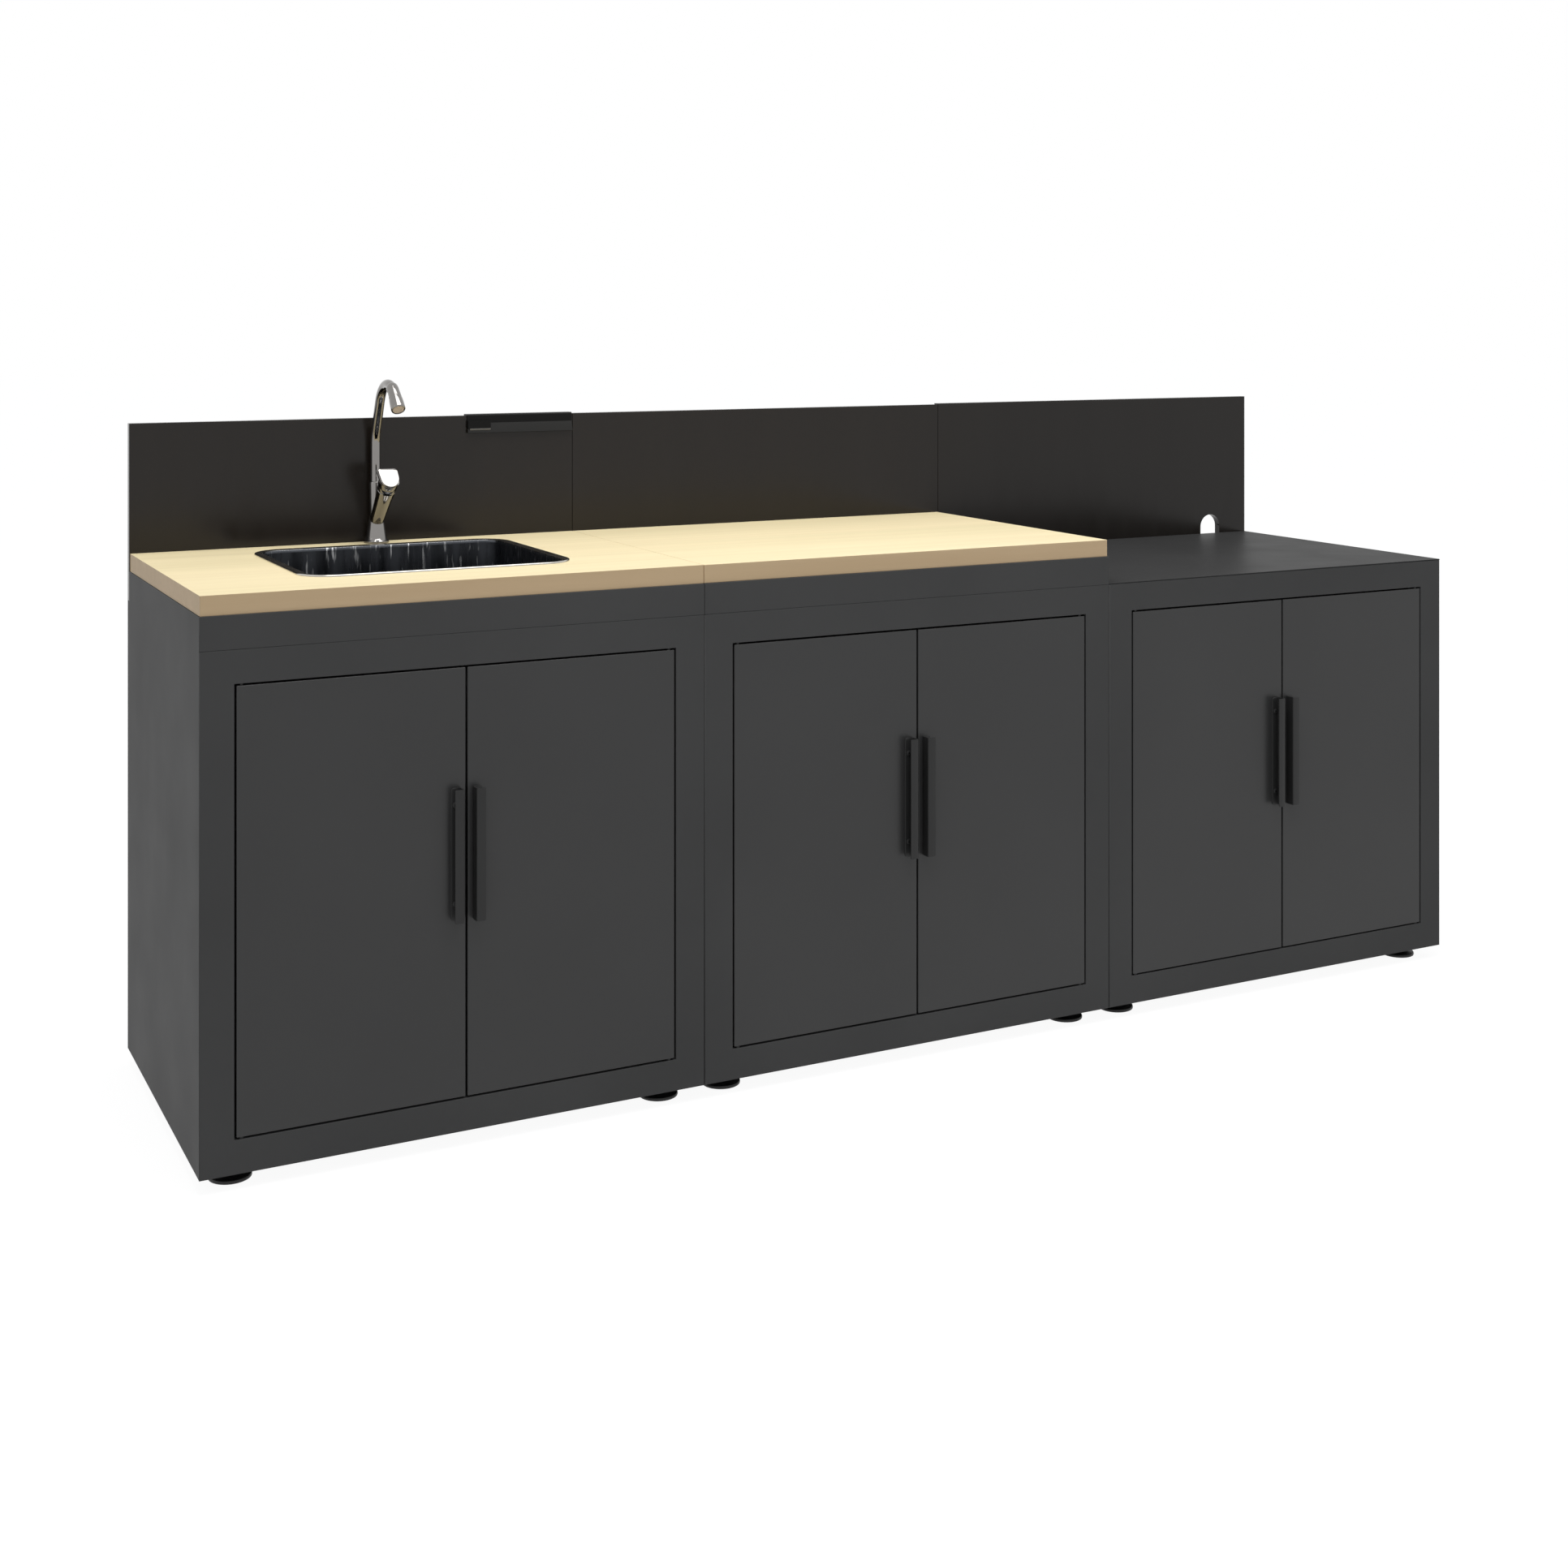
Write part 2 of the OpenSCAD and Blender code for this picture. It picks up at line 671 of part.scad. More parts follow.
// Solid with the outer form of the bowl, grown by its sheet
module bowl_form(grow, height) {
    x = sink_w / 2 - rim_w - bowl_r;
    y = sink_d / 2 - rim_w - bowl_r;
    bend = bowl_floor_r + grow;
    hull() for (i = [-x, x], j = [-y, y]) translate([i, j, 0]) {
        for (a = [0 : bend_step : 89]) translate([0, 0, bend * (1 - cos(a))])
            cylinder(r = bowl_r - bowl_floor_r + bend * sin(a), h = slice, $fn = facet);
        translate([0, 0, bend]) cylinder(r = bowl_r + grow, h = height - bend, $fn = facet);
    }
}

// Pressed steel sink: a flat rim on the wood and a bowl below it with a hole for the waste
module bowl() {
    color(stainless) translate([sink_x, sink_y, 0]) difference() {
        union() {
            translate([0, 0, top_z]) linear_extrude(rim_t) rounded(sink_w, sink_d, rim_r);
            translate([0, 0, bowl_floor - bowl_t]) bowl_form(bowl_t, bowl_h + bowl_t + rim_t / 2);
        }
        translate([0, 0, bowl_floor]) bowl_form(0, bowl_h + rim_t + cut);
        translate([0, 0, bowl_floor - bowl_t - cut])
            cylinder(r = waste_out_r + play, h = 2 * bowl_t + 2 * cut);
    }
}

// Waste cup that hangs in the bowl's floor by its flange, with a pipe at its foot
module waste() {
    color(stainless) translate([sink_x, sink_y, cup_floor]) difference() {
        union() {
            cylinder(r = waste_out_r, h = waste_h + waste_t);
            translate([0, 0, waste_h]) cylinder(r = waste_out_r + waste_rim, h = waste_t);
            translate([0, 0, -trap_drop]) cylinder(r = pipe_r, h = trap_drop + waste_t);
        }
        translate([0, 0, waste_t]) cylinder(r = waste_r, h = waste_h + cut);
        translate([0, 0, -trap_drop - cut])
            cylinder(r = pipe_r - pipe_t, h = trap_drop + 2 * waste_t + 2 * cut);
    }
}

// Lift-out strainer: a slotted cup with a knob
module strainer() {
    r = waste_r - strainer_air;
    h = waste_h - waste_t;
    color(chrome) translate([sink_x, sink_y, cup_floor + waste_t]) union() {
        difference() {
            cylinder(r = r, h = h);
            translate([0, 0, waste_t]) cylinder(r = r - waste_t, h = h);
            for (i = [1 : slots]) rotate(i * 360 / slots) translate([slot_in, -slot_w / 2, -cut])
                cube([slot_len, slot_w, waste_t + 2 * cut]);
        }
        cylinder(r = post_r, h = h);
        translate([0, 0, h - waste_t]) cylinder(r = knob_r, h = waste_t);
    }
}

// Bottle trap: a collar round the waste pipe, a bottle, and an outlet pipe with its nut to the back
module trap() {
    out_len = depth - sink_y - sheet;
    nut_end = trap_r + outlet_nut;
    color(white_plastic) translate([sink_x, sink_y, 0]) difference() {
        union() {
            translate([0, 0, trap_top - trap_h]) cylinder(r = trap_r, h = trap_h);
            translate([0, 0, trap_top]) cylinder(r = pipe_r + 2 * pipe_t, h = trap_drop / 2);
            translate([0, 0, outlet_z]) rotate([-90, 0, 0]) {
                cylinder(r = pipe_r - relief_t, h = out_len);
                cylinder(r = pipe_r + 2 * pipe_t, h = nut_end);
                translate([0, 0, nut_end + relief_w])
                    cylinder(r = pipe_r, h = out_len - nut_end - relief_w);
            }
        }
        translate([0, 0, trap_top]) cylinder(r = pipe_r + play, h = trap_drop / 2 + cut);
        translate([0, 0, trap_top - trap_h + pipe_t])
            cylinder(r = trap_r - pipe_t, h = trap_h - 2 * pipe_t);
        translate([0, 0, trap_top - 2 * pipe_t]) cylinder(r = pipe_r - pipe_t, h = 3 * pipe_t);
        translate([0, 0, outlet_z]) rotate([-90, 0, 0]) cylinder(r = pipe_r - pipe_t, h = out_len + cut);
    }
}

// Puts its children at the middle of the ball, with +Z along the leaning mixer and +Y up to the back
module on_mixer() {
    translate([tap_x, ball_y, ball_z]) rotate([lean, 0, 0]) children();
}

// Tap: base, cone, leaning mixer, a tall socket for the spout, a threaded shank with two inlets, and its nut
module tap_body_parts() {
    color(chrome) {
        difference() {
            union() {
                translate([tap_x, tap_y, top_z]) {
                    cylinder(r = tap_base_r, h = tap_base_h);
                    translate([0, 0, tap_base_h])
                        cylinder(r1 = tap_base_r - tap_base_step, r2 = cone_r, h = tap_base_h);
                    cylinder(r1 = cone_r, r2 = cone_top_r, h = cone_h);
                }
                on_mixer() translate([0, 0, -mixer_len])
                    cylinder(r1 = mixer_r, r2 = mixer_top_r, h = mixer_len - ring_h);
                translate([tap_x, tube_y, top_z + tap_base_h])
                    cylinder(r = tube_r + socket_t, h = socket_h - tap_base_h);
                translate([tap_x, tap_y, wood_z - shank_down])
                    cylinder(r = shank_r, h = shank_down + wood_t + tap_base_h);
                for (i = [-1, 1]) translate([tap_x + i * inlet_out, tap_y, wood_z - shank_down - inlet_len])
                    cylinder(r = inlet_r, h = inlet_len + nut_t);
            }
            translate([tap_x, tube_y, top_z + tube_foot]) cylinder(r = tube_r + play, h = spout_h);
        }
        translate([tap_x, tap_y, wood_z - nut_t]) difference() {
            cylinder(r = nut_r, h = nut_t, $fn = 6);
            translate([0, 0, -cut]) cylinder(r = shank_r + play, h = nut_t + 2 * cut);
        }
    }
}

// Tube that bends towards the front, from one angle to another, round an axis in front of it
module bent_tube(bend, from, to, r) {
    translate([0, -bend, 0]) rotate([90, 0, 90]) rotate([0, 0, from])
        rotate_extrude(angle = to - from) translate([bend, 0]) circle(r);
}

// Outlet head: a widening neck and a straight end
module outlet_head() {
    translate([0, 0, -head_lap])
        cylinder(r1 = head_neck_r + head_step, r2 = head_r, h = head_flare + head_lap);
    translate([0, 0, head_flare]) cylinder(r = head_r, h = head_len);
}

// Swan-neck spout that turns in the tap's socket: upright, leaning, then bent over to its outlet head
module spout() {
    color(chrome) translate([tap_x, tube_y, top_z]) union() {
        translate([0, 0, tube_foot]) cylinder(r = tube_r, h = spout_h - tube_foot);
        translate([0, 0, spout_h]) {
            bent_tube(lean_r, 0, spout_lean, tube_r);
            bent_tube(lean_r, spout_lean - lean_ring, spout_lean + lean_ring, tube_r + lean_ring_t);
        }
        translate([0, lean_r * (cos(spout_lean) - 1), spout_h + lean_r * sin(spout_lean)])
            rotate([spout_lean, 0, 0]) {
                cylinder(r = tube_r, h = lean_len);
                translate([0, 0, lean_len]) {
                    bent_tube(bend_r, 0, spout_turn - head_bend + neck_lap, tube_r);
                    bent_tube(bend_r, spout_turn - head_bend, spout_turn, head_neck_r);
                    translate([0, bend_r * (cos(spout_turn) - 1), bend_r * sin(spout_turn)])
                        rotate([spout_turn, 0, 0]) outlet_head();
                }
            }
    }
}

// Ring and ball that turn on the mixer's head under the lever
module collar() {
    color(chrome) on_mixer() difference() {
        union() {
            translate([0, 0, -ring_h]) cylinder(r = ball_r, h = ring_h);
            sphere(ball_r);
        }
        translate([0, 0, -ring_h - 2 * ball_r]) cylinder(r = 2 * ball_r, h = 2 * ball_r);
    }
}

// Outline of the lever's plate: straight at the top with round corners, and half an ellipse below
module lever_outline() {
    half = lever_w / 2;
    corner = lever_corner;
    translate([0, lever_back - lever_len + lever_tip]) polygon(concat(
        [for (a = [180 : bend_step / 2 : 360]) [half * cos(a), lever_tip * sin(a)]],
        [for (a = [0 : bend_step : 90])
            [half - corner + corner * cos(a), lever_len - lever_tip - corner + corner * sin(a)]],
        [for (a = [90 : bend_step : 180])
            [corner - half + corner * cos(a), lever_len - lever_tip - corner + corner * sin(a)]]));
}

// Lever: a cap over the ball under a shield-shaped plate that lies across the mixer
module lever() {
    color(chrome) on_mixer() difference() {
        union() {
            translate([0, 0, cap_up]) cylinder(r = cap_side, h = lever_up - lever_t / 2 - cap_up);
            translate([0, 0, lever_up - lever_t]) linear_extrude(lever_t) lever_outline();
        }
        sphere(ball_r + cap_air);
    }
}

// Hinge pins of one cabinet: the upper ones hang through the frame, the lower ones carry the doors
module cabinet_pins() {
    for (side = [LEFT, RIGHT]) on_side(side) translate([hinge_x, hinge_back, 0]) {
        translate([0, 0, body_h - border - door_gap - pin_in])
            cylinder(r = pin_r, h = pin_in + door_gap + sheet);
        translate([0, 0, body_h - border + sheet]) cylinder(r = pin_head_r, h = pin_head_t);
        translate([0, 0, border]) cylinder(r = pin_r, h = pin_in + door_gap);
        translate([0, 0, border]) cylinder(r = pin_head_r, h = door_gap - 2 * play);
    }
}

// All the hinge pins
module pins() {
    color(zinc) for (place = [SINK, PREP, GRILL]) cabinet(place) cabinet_pins();
}

// A magnetic catch under the top of each door frame
module catches() {
    color(handle_black) for (place = [SINK, PREP, GRILL]) cabinet(place)
        translate([(body_w - catch_w) / 2, door_t + catch_air, body_h - border - catch_h])
            cube([catch_w, catch_d, catch_h]);
}

// Bolts and nuts through the walls where two cabinets meet
module bolts() {
    grip = 2 * sheet + seam;
    color(zinc) for (place = [PREP, GRILL]) cabinet(place)
        translate([sheet - grip, 0, 0]) bolt_places() union() {
            cylinder(r = bolt_r, h = grip);
            for (z = [-bolt_head_t, grip]) translate([0, 0, z])
                cylinder(r = bolt_r + bolt_rim, h = bolt_head_t, $fn = 6);
        }
}

cabinet(SINK) side_wall(LEFT, wood_z, bolted = false);  // sink_side_left
cabinet(SINK) side_wall(RIGHT);  // sink_side_right
cabinet(SINK) base_pan();  // sink_base
cabinet(SINK) back_wall(port = true);  // sink_back
cabinet(SINK) door_frame();  // sink_frame
cabinet(SINK) door(LEFT);  // sink_door_left
cabinet(SINK) door(RIGHT);  // sink_door_right
cabinet(SINK) handle(LEFT);  // sink_handle_left
cabinet(SINK) handle(RIGHT);  // sink_handle_right
cabinet(PREP) side_wall(LEFT, ledge = true);  // prep_side_left
cabinet(PREP) side_wall(RIGHT, ledge = true);  // prep_side_right
cabinet(PREP) base_pan();  // prep_base
cabinet(PREP) back_wall();  // prep_back
cabinet(PREP) door_frame();  // prep_frame
cabinet(PREP) shelf();  // prep_shelf
cabinet(PREP) door(LEFT);  // prep_door_left
cabinet(PREP) door(RIGHT);  // prep_door_right
cabinet(PREP) handle(LEFT);  // prep_handle_left
cabinet(PREP) handle(RIGHT);  // prep_handle_right
cabinet(GRILL) side_wall(LEFT);  // grill_side_left
cabinet(GRILL) side_wall(RIGHT);  // grill_side_right
cabinet(GRILL) base_pan();  // grill_base
cabinet(GRILL) back_wall();  // grill_back
cabinet(GRILL) door_frame();  // grill_frame
cabinet(GRILL) door(LEFT);  // grill_door_left
cabinet(GRILL) door(RIGHT);  // grill_door_right
cabinet(GRILL) handle(LEFT);  // grill_handle_left
cabinet(GRILL) handle(RIGHT);  // grill_handle_right
cabinet(SINK) foot(false, LEFT);  // sink_foot_front_left
cabinet(SINK) foot(false, RIGHT);  // sink_foot_front_right
cabinet(SINK) foot(true, LEFT);  // sink_foot_back_left
cabinet(SINK) foot(true, RIGHT);  // sink_foot_back_right
cabinet(PREP) foot(false, LEFT);  // prep_foot_front_left
cabinet(PREP) foot(false, RIGHT);  // prep_foot_front_right
cabinet(PREP) foot(true, LEFT);  // prep_foot_back_left
cabinet(PREP) foot(true, RIGHT);  // prep_foot_back_right
cabinet(GRILL) foot(false, LEFT);  // grill_foot_front_left
cabinet(GRILL) foot(false, RIGHT);  // grill_foot_front_right
cabinet(GRILL) foot(true, LEFT);  // grill_foot_back_left
cabinet(GRILL) foot(true, RIGHT);  // grill_foot_back_right
cabinet(SINK) riser(left_in = sheet, tap_notch = true);  // sink_riser
cabinet(PREP) riser();  // prep_riser
cabinet(SINK) worktop(left_in = wood_end, for_sink = true);  // sink_worktop
cabinet(PREP) worktop(right_in = wood_end);  // prep_worktop
cabinet(GRILL) deck();  // grill_deck
cabinet(SINK) splash();  // sink_splash
cabinet(PREP) splash();  // prep_splash
cabinet(GRILL) splash(arch = true);  // grill_splash
cabinet(SINK) rail();  // hook_rail
cabinet(SINK) bowl();  // sink_bowl
cabinet(SINK) waste();  // sink_waste
cabinet(SINK) strainer();  // sink_strainer
cabinet(SINK) trap();  // sink_trap
cabinet(SINK) tap_body_parts();  // tap_body
cabinet(SINK) spout();  // tap_spout
cabinet(SINK) collar();  // tap_collar
cabinet(SINK) lever();  // tap_lever
pins();  // hinge_pins
catches();  // door_catches
bolts();  // joining_bolts
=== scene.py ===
# %% [markdown]
# # An outdoor kitchen, from measured solids to a finished portrait
# The object is a row of three folded steel cabinets with a sink, a tap, two wooden worktops and
# dark splash panels. A measured model already says where every solid is, in metres, with the origin
# on the ground under the middle of the row. It is loaded first and is never moved: this lesson only
# gives each piece its surface, its soft edges and its finish.

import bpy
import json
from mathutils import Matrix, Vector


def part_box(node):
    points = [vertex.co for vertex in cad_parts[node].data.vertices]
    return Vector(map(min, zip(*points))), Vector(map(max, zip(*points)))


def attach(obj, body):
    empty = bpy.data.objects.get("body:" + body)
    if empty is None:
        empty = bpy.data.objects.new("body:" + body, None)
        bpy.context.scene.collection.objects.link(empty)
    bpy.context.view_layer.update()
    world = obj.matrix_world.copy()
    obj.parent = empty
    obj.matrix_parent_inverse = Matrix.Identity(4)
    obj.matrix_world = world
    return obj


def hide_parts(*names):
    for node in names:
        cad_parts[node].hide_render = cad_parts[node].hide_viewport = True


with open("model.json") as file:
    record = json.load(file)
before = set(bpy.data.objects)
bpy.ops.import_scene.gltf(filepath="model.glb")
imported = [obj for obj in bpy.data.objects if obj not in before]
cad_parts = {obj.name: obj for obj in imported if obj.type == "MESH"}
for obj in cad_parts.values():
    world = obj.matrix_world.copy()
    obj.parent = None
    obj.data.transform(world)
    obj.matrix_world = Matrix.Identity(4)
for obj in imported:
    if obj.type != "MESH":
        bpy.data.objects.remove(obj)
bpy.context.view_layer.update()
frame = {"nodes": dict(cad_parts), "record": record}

# %% [markdown]
# Everything below uses Blender's own Python module, its mesh editor bmesh, and a little
# trigonometry. The model also says which body each solid moves with, such as a door or the spout. A
# table from solid to body means that a finished piece can simply be told which solid it stands for.

# %% Tools and the table of moving bodies
import json
from math import atan2, cos, pi, radians, sin, tan

import bmesh
import bpy
from mathutils import Matrix, Vector

scene = bpy.context.scene
body_with = {}
for body, members in frame["record"]["behaviour"]["bodies"].items():
    for member in members:
        body_with[member] = body

# %% [markdown]
# ## The camera
# The photograph was taken from the left front with a level camera: upright edges stay upright in
# it. Such a view is made with an unturned camera whose sensor is shifted down, as with a shift
# lens, so the camera is only turned about the vertical and its shift_y frames the cabinets.

# %% Camera
camera_data = bpy.data.cameras.new("camera")
camera_data.lens = 46.72
camera_data.sensor_width = 36
camera_data.shift_y = -0.2994
camera = bpy.data.objects.new("camera", camera_data)
camera.location = (-1.7894, -3.2705, 1.2683)
camera.rotation_euler = (radians(90), 0, radians(-27.234))
scene.collection.objects.link(camera)
scene.camera = camera
scene.view_settings.view_transform = "Standard"

# %% [markdown]
# ## Floor and background
# A product picture stands on white. Lighting a floor until it is white would also burn out the pale
# wood, so the floor and the world answer two questions differently: what the camera, a reflection
# or a clear material sees is white, and what lights the object is a plain soft grey. Light Path
# tells the two apart. The floor keeps a share of real diffuse shading, so the object's soft shadow
# stays on it.

# %% A switch that is on for what is seen or mirrored
def seen_or_mirrored(tree):
    """Gives 1 for camera, glossy and transmission rays, and 0 for light that bounces."""
    path = tree.nodes.new("ShaderNodeLightPath")
    switch = path.outputs["Is Camera Ray"]
    for kind in ("Is Glossy Ray", "Is Transmission Ray"):
        either = tree.nodes.new("ShaderNodeMath")
        either.operation = "MAXIMUM"
        tree.links.new(switch, either.inputs[0])
        tree.links.new(path.outputs[kind], either.inputs[1])
        switch = either.outputs[0]
    return switch


# %% World
room_tint = (0.96, 0.98, 1, 1)
room_strength = 0.42
world = bpy.data.worlds.new("studio")
scene.world = world
world.use_nodes = True
sky = world.node_tree
sky.nodes.clear()
room_light = sky.nodes.new("ShaderNodeBackground")
room_light.inputs["Color"].default_value = room_tint
room_light.inputs["Strength"].default_value = room_strength
white_sky = sky.nodes.new("ShaderNodeBackground")
white_sky.inputs["Color"].default_value = (1, 1, 1, 1)
sky_mix = sky.nodes.new("ShaderNodeMixShader")
sky.links.new(seen_or_mirrored(sky), sky_mix.inputs["Fac"])
sky.links.new(room_light.outputs[0], sky_mix.inputs[1])
sky.links.new(white_sky.outputs[0], sky_mix.inputs[2])
sky.links.new(sky_mix.outputs[0], sky.nodes.new("ShaderNodeOutputWorld").inputs["Surface"])

# %% Floor
floor_half = 40
floor_glow = 0.935
floor_shading = 0.16
floor_bounce = 0.6
floor_mesh = bpy.data.meshes.new("floor")
corners = [(-floor_half, -floor_half, 0), (floor_half, -floor_half, 0),
           (floor_half, floor_half, 0), (-floor_half, floor_half, 0)]
floor_mesh.from_pydata(corners, [], [(0, 1, 2, 3)])
floor = bpy.data.objects.new("floor", floor_mesh)
scene.collection.objects.link(floor)
floor_paint = bpy.data.materials.new("pale floor")
floor_paint.use_nodes = True
ground = floor_paint.node_tree
ground.nodes.clear()
bounce = ground.nodes.new("ShaderNodeBsdfDiffuse")
bounce.inputs["Color"].default_value = (floor_bounce, floor_bounce, floor_bounce, 1)
shaded = ground.nodes.new("ShaderNodeBsdfDiffuse")
shaded.inputs["Color"].default_value = (floor_shading, floor_shading, floor_shading, 1)
glow = ground.nodes.new("ShaderNodeEmission")
glow.inputs["Strength"].default_value = floor_glow
white_floor = ground.nodes.new("ShaderNodeAddShader")
ground.links.new(shaded.outputs[0], white_floor.inputs[0])
ground.links.new(glow.outputs[0], white_floor.inputs[1])
floor_mix = ground.nodes.new("ShaderNodeMixShader")
ground.links.new(seen_or_mirrored(ground), floor_mix.inputs["Fac"])
ground.links.new(bounce.outputs[0], floor_mix.inputs[1])
ground.links.new(white_floor.outputs[0], floor_mix.inputs[2])
floor_output = ground.nodes.new("ShaderNodeOutputMaterial")
ground.links.new(floor_mix.outputs[0], floor_output.inputs["Surface"])
floor_mesh.materials.append(floor_paint)

# %% [markdown]
# ## Lamps
# In the photograph the tops are about twice as bright as the fronts, and the left end a little
# brighter than the front. One broad lamp overhead and a weaker one from the left give that. Area
# lamps are used because a large soft source has no hard shadow, as in a studio with diffusers.

# %% Lamps
def soft_lamp(name, place, aim, side, watts):
    """Square area lamp at a place, turned to its aim."""
    lamp = bpy.data.lights.new(name, "AREA")
    lamp.size = side
    lamp.energy = watts
    holder = bpy.data.objects.new(name, lamp)
    holder.location = place
    holder.rotation_euler = (Vector(aim) - Vector(place)).to_track_quat("-Z", "Y").to_euler()
    scene.collection.objects.link(holder)


soft_lamp("overhead", place=(-0.3, -0.8, 3.6), aim=(0, 0, 0.8), side=2.6, watts=84)
soft_lamp("left", place=(-4.2, -0.6, 2.8), aim=(-0.8, 0, 0.8), side=1.6, watts=3)

# %% [markdown]
# ## Mesh helpers
# Most pieces are made in one of three ways. Sheet steel and wood start from the measured solid,
# whose corners are welded and whose sharp edges are then rounded, as a press brake or a router
# would leave them. Turned pieces, such as the feet, are a profile spun round an axis. The rest are
# skins over a row of rings.

# %% Finishing a piece
cabinets = ("sink", "prep", "grill")
sides = ("left", "right")
crease = radians(32)


def smooth_and_mark(shape, limit=crease):
    """Smooth shading everywhere, with a crease where two faces meet at more than the limit."""
    for face in shape.faces:
        face.smooth = True
    for edge in shape.edges:
        edge.smooth = edge.calc_face_angle(pi) < limit


def finished_piece(name, shape, material, nodes):
    """Turns a bmesh into a piece with a finish, and hides the solids it replaces."""
    mesh = bpy.data.meshes.new(name)
    shape.to_mesh(mesh)
    shape.free()
    mesh.materials.append(material)
    piece = bpy.data.objects.new(name, mesh)
    scene.collection.objects.link(piece)
    if nodes:
        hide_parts(*nodes)
    return piece


def refinish(node, material):
    """New finish in a solid's material slot, for solids that need nothing else."""
    mesh = frame["nodes"][node].data
    mesh.materials.clear()
    mesh.materials.append(material)


def round_edges(piece, radius):
    """Rounds the weighted edges with a bevel, and keeps the large faces flat in the shading."""
    bevel = piece.modifiers.new("rounded edges", "BEVEL")
    bevel.width = radius
    bevel.segments = 3
    bevel.limit_method = "WEIGHT"
    normals = piece.modifiers.new("flat faces", "WEIGHTED_NORMAL")
    normals.keep_sharp = True
    normals.weight = 100


# %% Welded copy of a measured solid, with weights on the edges to round
same_place = 1e-5
flat_angle = radians(0.5)
shortest_rounded = 0.005
rounding_by_planes = {0: 0.15, 1: 0.45, 2: 1, 3: 1}


def sides_touched(point, low, high):
    """Number of the box's three pairs of sides that a point lies on."""
    return sum(min(abs(point[i] - low[i]), abs(point[i] - high[i])) < same_place for i in range(3))


def welded_copy(node, leave=()):
    """The solid as clean flat faces; edges on the outline get more rounding than inner ones.

    Edges in the planes that leave names, as (axis, place), stay square.
    """
    shape = bmesh.new()
    shape.from_mesh(frame["nodes"][node].data)
    bmesh.ops.remove_doubles(shape, verts=shape.verts, dist=same_place)
    bmesh.ops.dissolve_limit(shape, angle_limit=flat_angle, verts=shape.verts, edges=shape.edges)
    bmesh.ops.recalc_face_normals(shape, faces=shape.faces)
    smooth_and_mark(shape)
    weight = shape.edges.layers.float.new("bevel_weight_edge")
    low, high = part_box(node)
    for edge in shape.edges:
        middle = (edge.verts[0].co + edge.verts[1].co) / 2
        if edge.smooth or edge.calc_length() < shortest_rounded or not edge.is_manifold:
            continue
        if any(abs(middle[axis] - place) < same_place for axis, place in leave):
            continue
        edge[weight] = rounding_by_planes[sides_touched(middle, low, high)]
        edge.smooth = True
    return shape


def from_solid(node, material, radius, leave=()):
    """A piece made from its measured solid, with its edges rounded."""
    piece = finished_piece(node + "_finished", welded_copy(node, leave), material, [node])
    round_edges(piece, radius)
    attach(piece, body_with[node])
    return piece


# %% Flat outlines with rounded corners
def rounded_path(corners, steps=4, closed=True):
    """A flat path through (x, y, radius) corners, each corner turned into an arc."""
    path = []
    for i, (x, y, radius) in enumerate(corners):
        here = Vector((x, y))
        if radius == 0 or (not closed and i in (0, len(corners) - 1)):
            path.append(here)
            continue
        to_last = (Vector(corners[i - 1][:2]) - here).normalized()
        to_next = (Vector(corners[(i + 1) % len(corners)][:2]) - here).normalized()
        half = to_last.angle(to_next) / 2
        centre = here + (to_last + to_next).normalized() * radius / sin(half)
        first = here + to_last * radius / tan(half) - centre
        last = here + to_next * radius / tan(half) - centre
        turn = atan2(first.cross(last), first.dot(last))
        for k in range(steps + 1):
            c, s = cos(turn * k / steps), sin(turn * k / steps)
            path.append(centre + Vector((first.x * c - first.y * s, first.x * s + first.y * c)))
    return path


# %% Skins over rings, and turned shapes
def skin_rings(shape, rings, ends="capped"):
    """Bridges closed rings with faces; the ends are capped, joined to each other, or open."""
    loops = [[shape.verts.new(point) for point in ring] for ring in rings]
    pairs = list(zip(loops, loops[1:]))
    if ends == "joined":
        pairs.append((loops[-1], loops[0]))
    count = len(loops[0])
    for near, far in pairs:
        for i in range(count):
            shape.faces.new((near[i], near[(i + 1) % count], far[(i + 1) % count], far[i]))
    if ends == "capped":
        shape.faces.new(list(reversed(loops[0])))
        shape.faces.new(loops[-1])


def circle(radius, height, count=48):
    """Ring of points round the Z axis."""
    turns = [2 * pi * i / count for i in range(count)]
    return [Vector((radius * cos(a), radius * sin(a), height)) for a in turns]


def turned(shape, profile, place, count=48, joined=False):
    """Spins a profile of (radius, height) points round the Z axis of the given place."""
    rings = [[place @ point for point in circle(radius, height, count)]
             for radius, height in profile]
    skin_rings(shape, rings, "joined" if joined else "capped")


def at(point, turn=None):
    """A place: a point, and a turn if one is given."""
    move = Matrix.Translation(Vector(point))
    return move @ turn.to_4x4() if turn else move


def closed_up(shape):
    """Faces outward on every closed skin, with the points on an axis joined and creases marked."""
    bmesh.ops.remove_doubles(shape, verts=shape.verts, dist=1e-6)
    bmesh.ops.recalc_face_normals(shape, faces=shape.faces)
    smooth_and_mark(shape)
    return shape


def carried(outline, ends, place):
    """A closed shape: a flat outline carried from one end to the other, each point set by place."""
    shape = bmesh.new()
    skin_rings(shape, [[Vector(place(p.x, p.y, end)) for p in outline] for end in ends])
    return closed_up(shape)


# %% [markdown]
# ## Finishes
# Each finish is a small network of nodes on the object's own coordinates, which at rest are metres
# in the room, so grain and texture have their real scale and run on from piece to piece. Noise
# varies the colour and the roughness a little, and a bump gives the fine relief. What is the same
# all over, such as the metal value, is set on the shader itself.

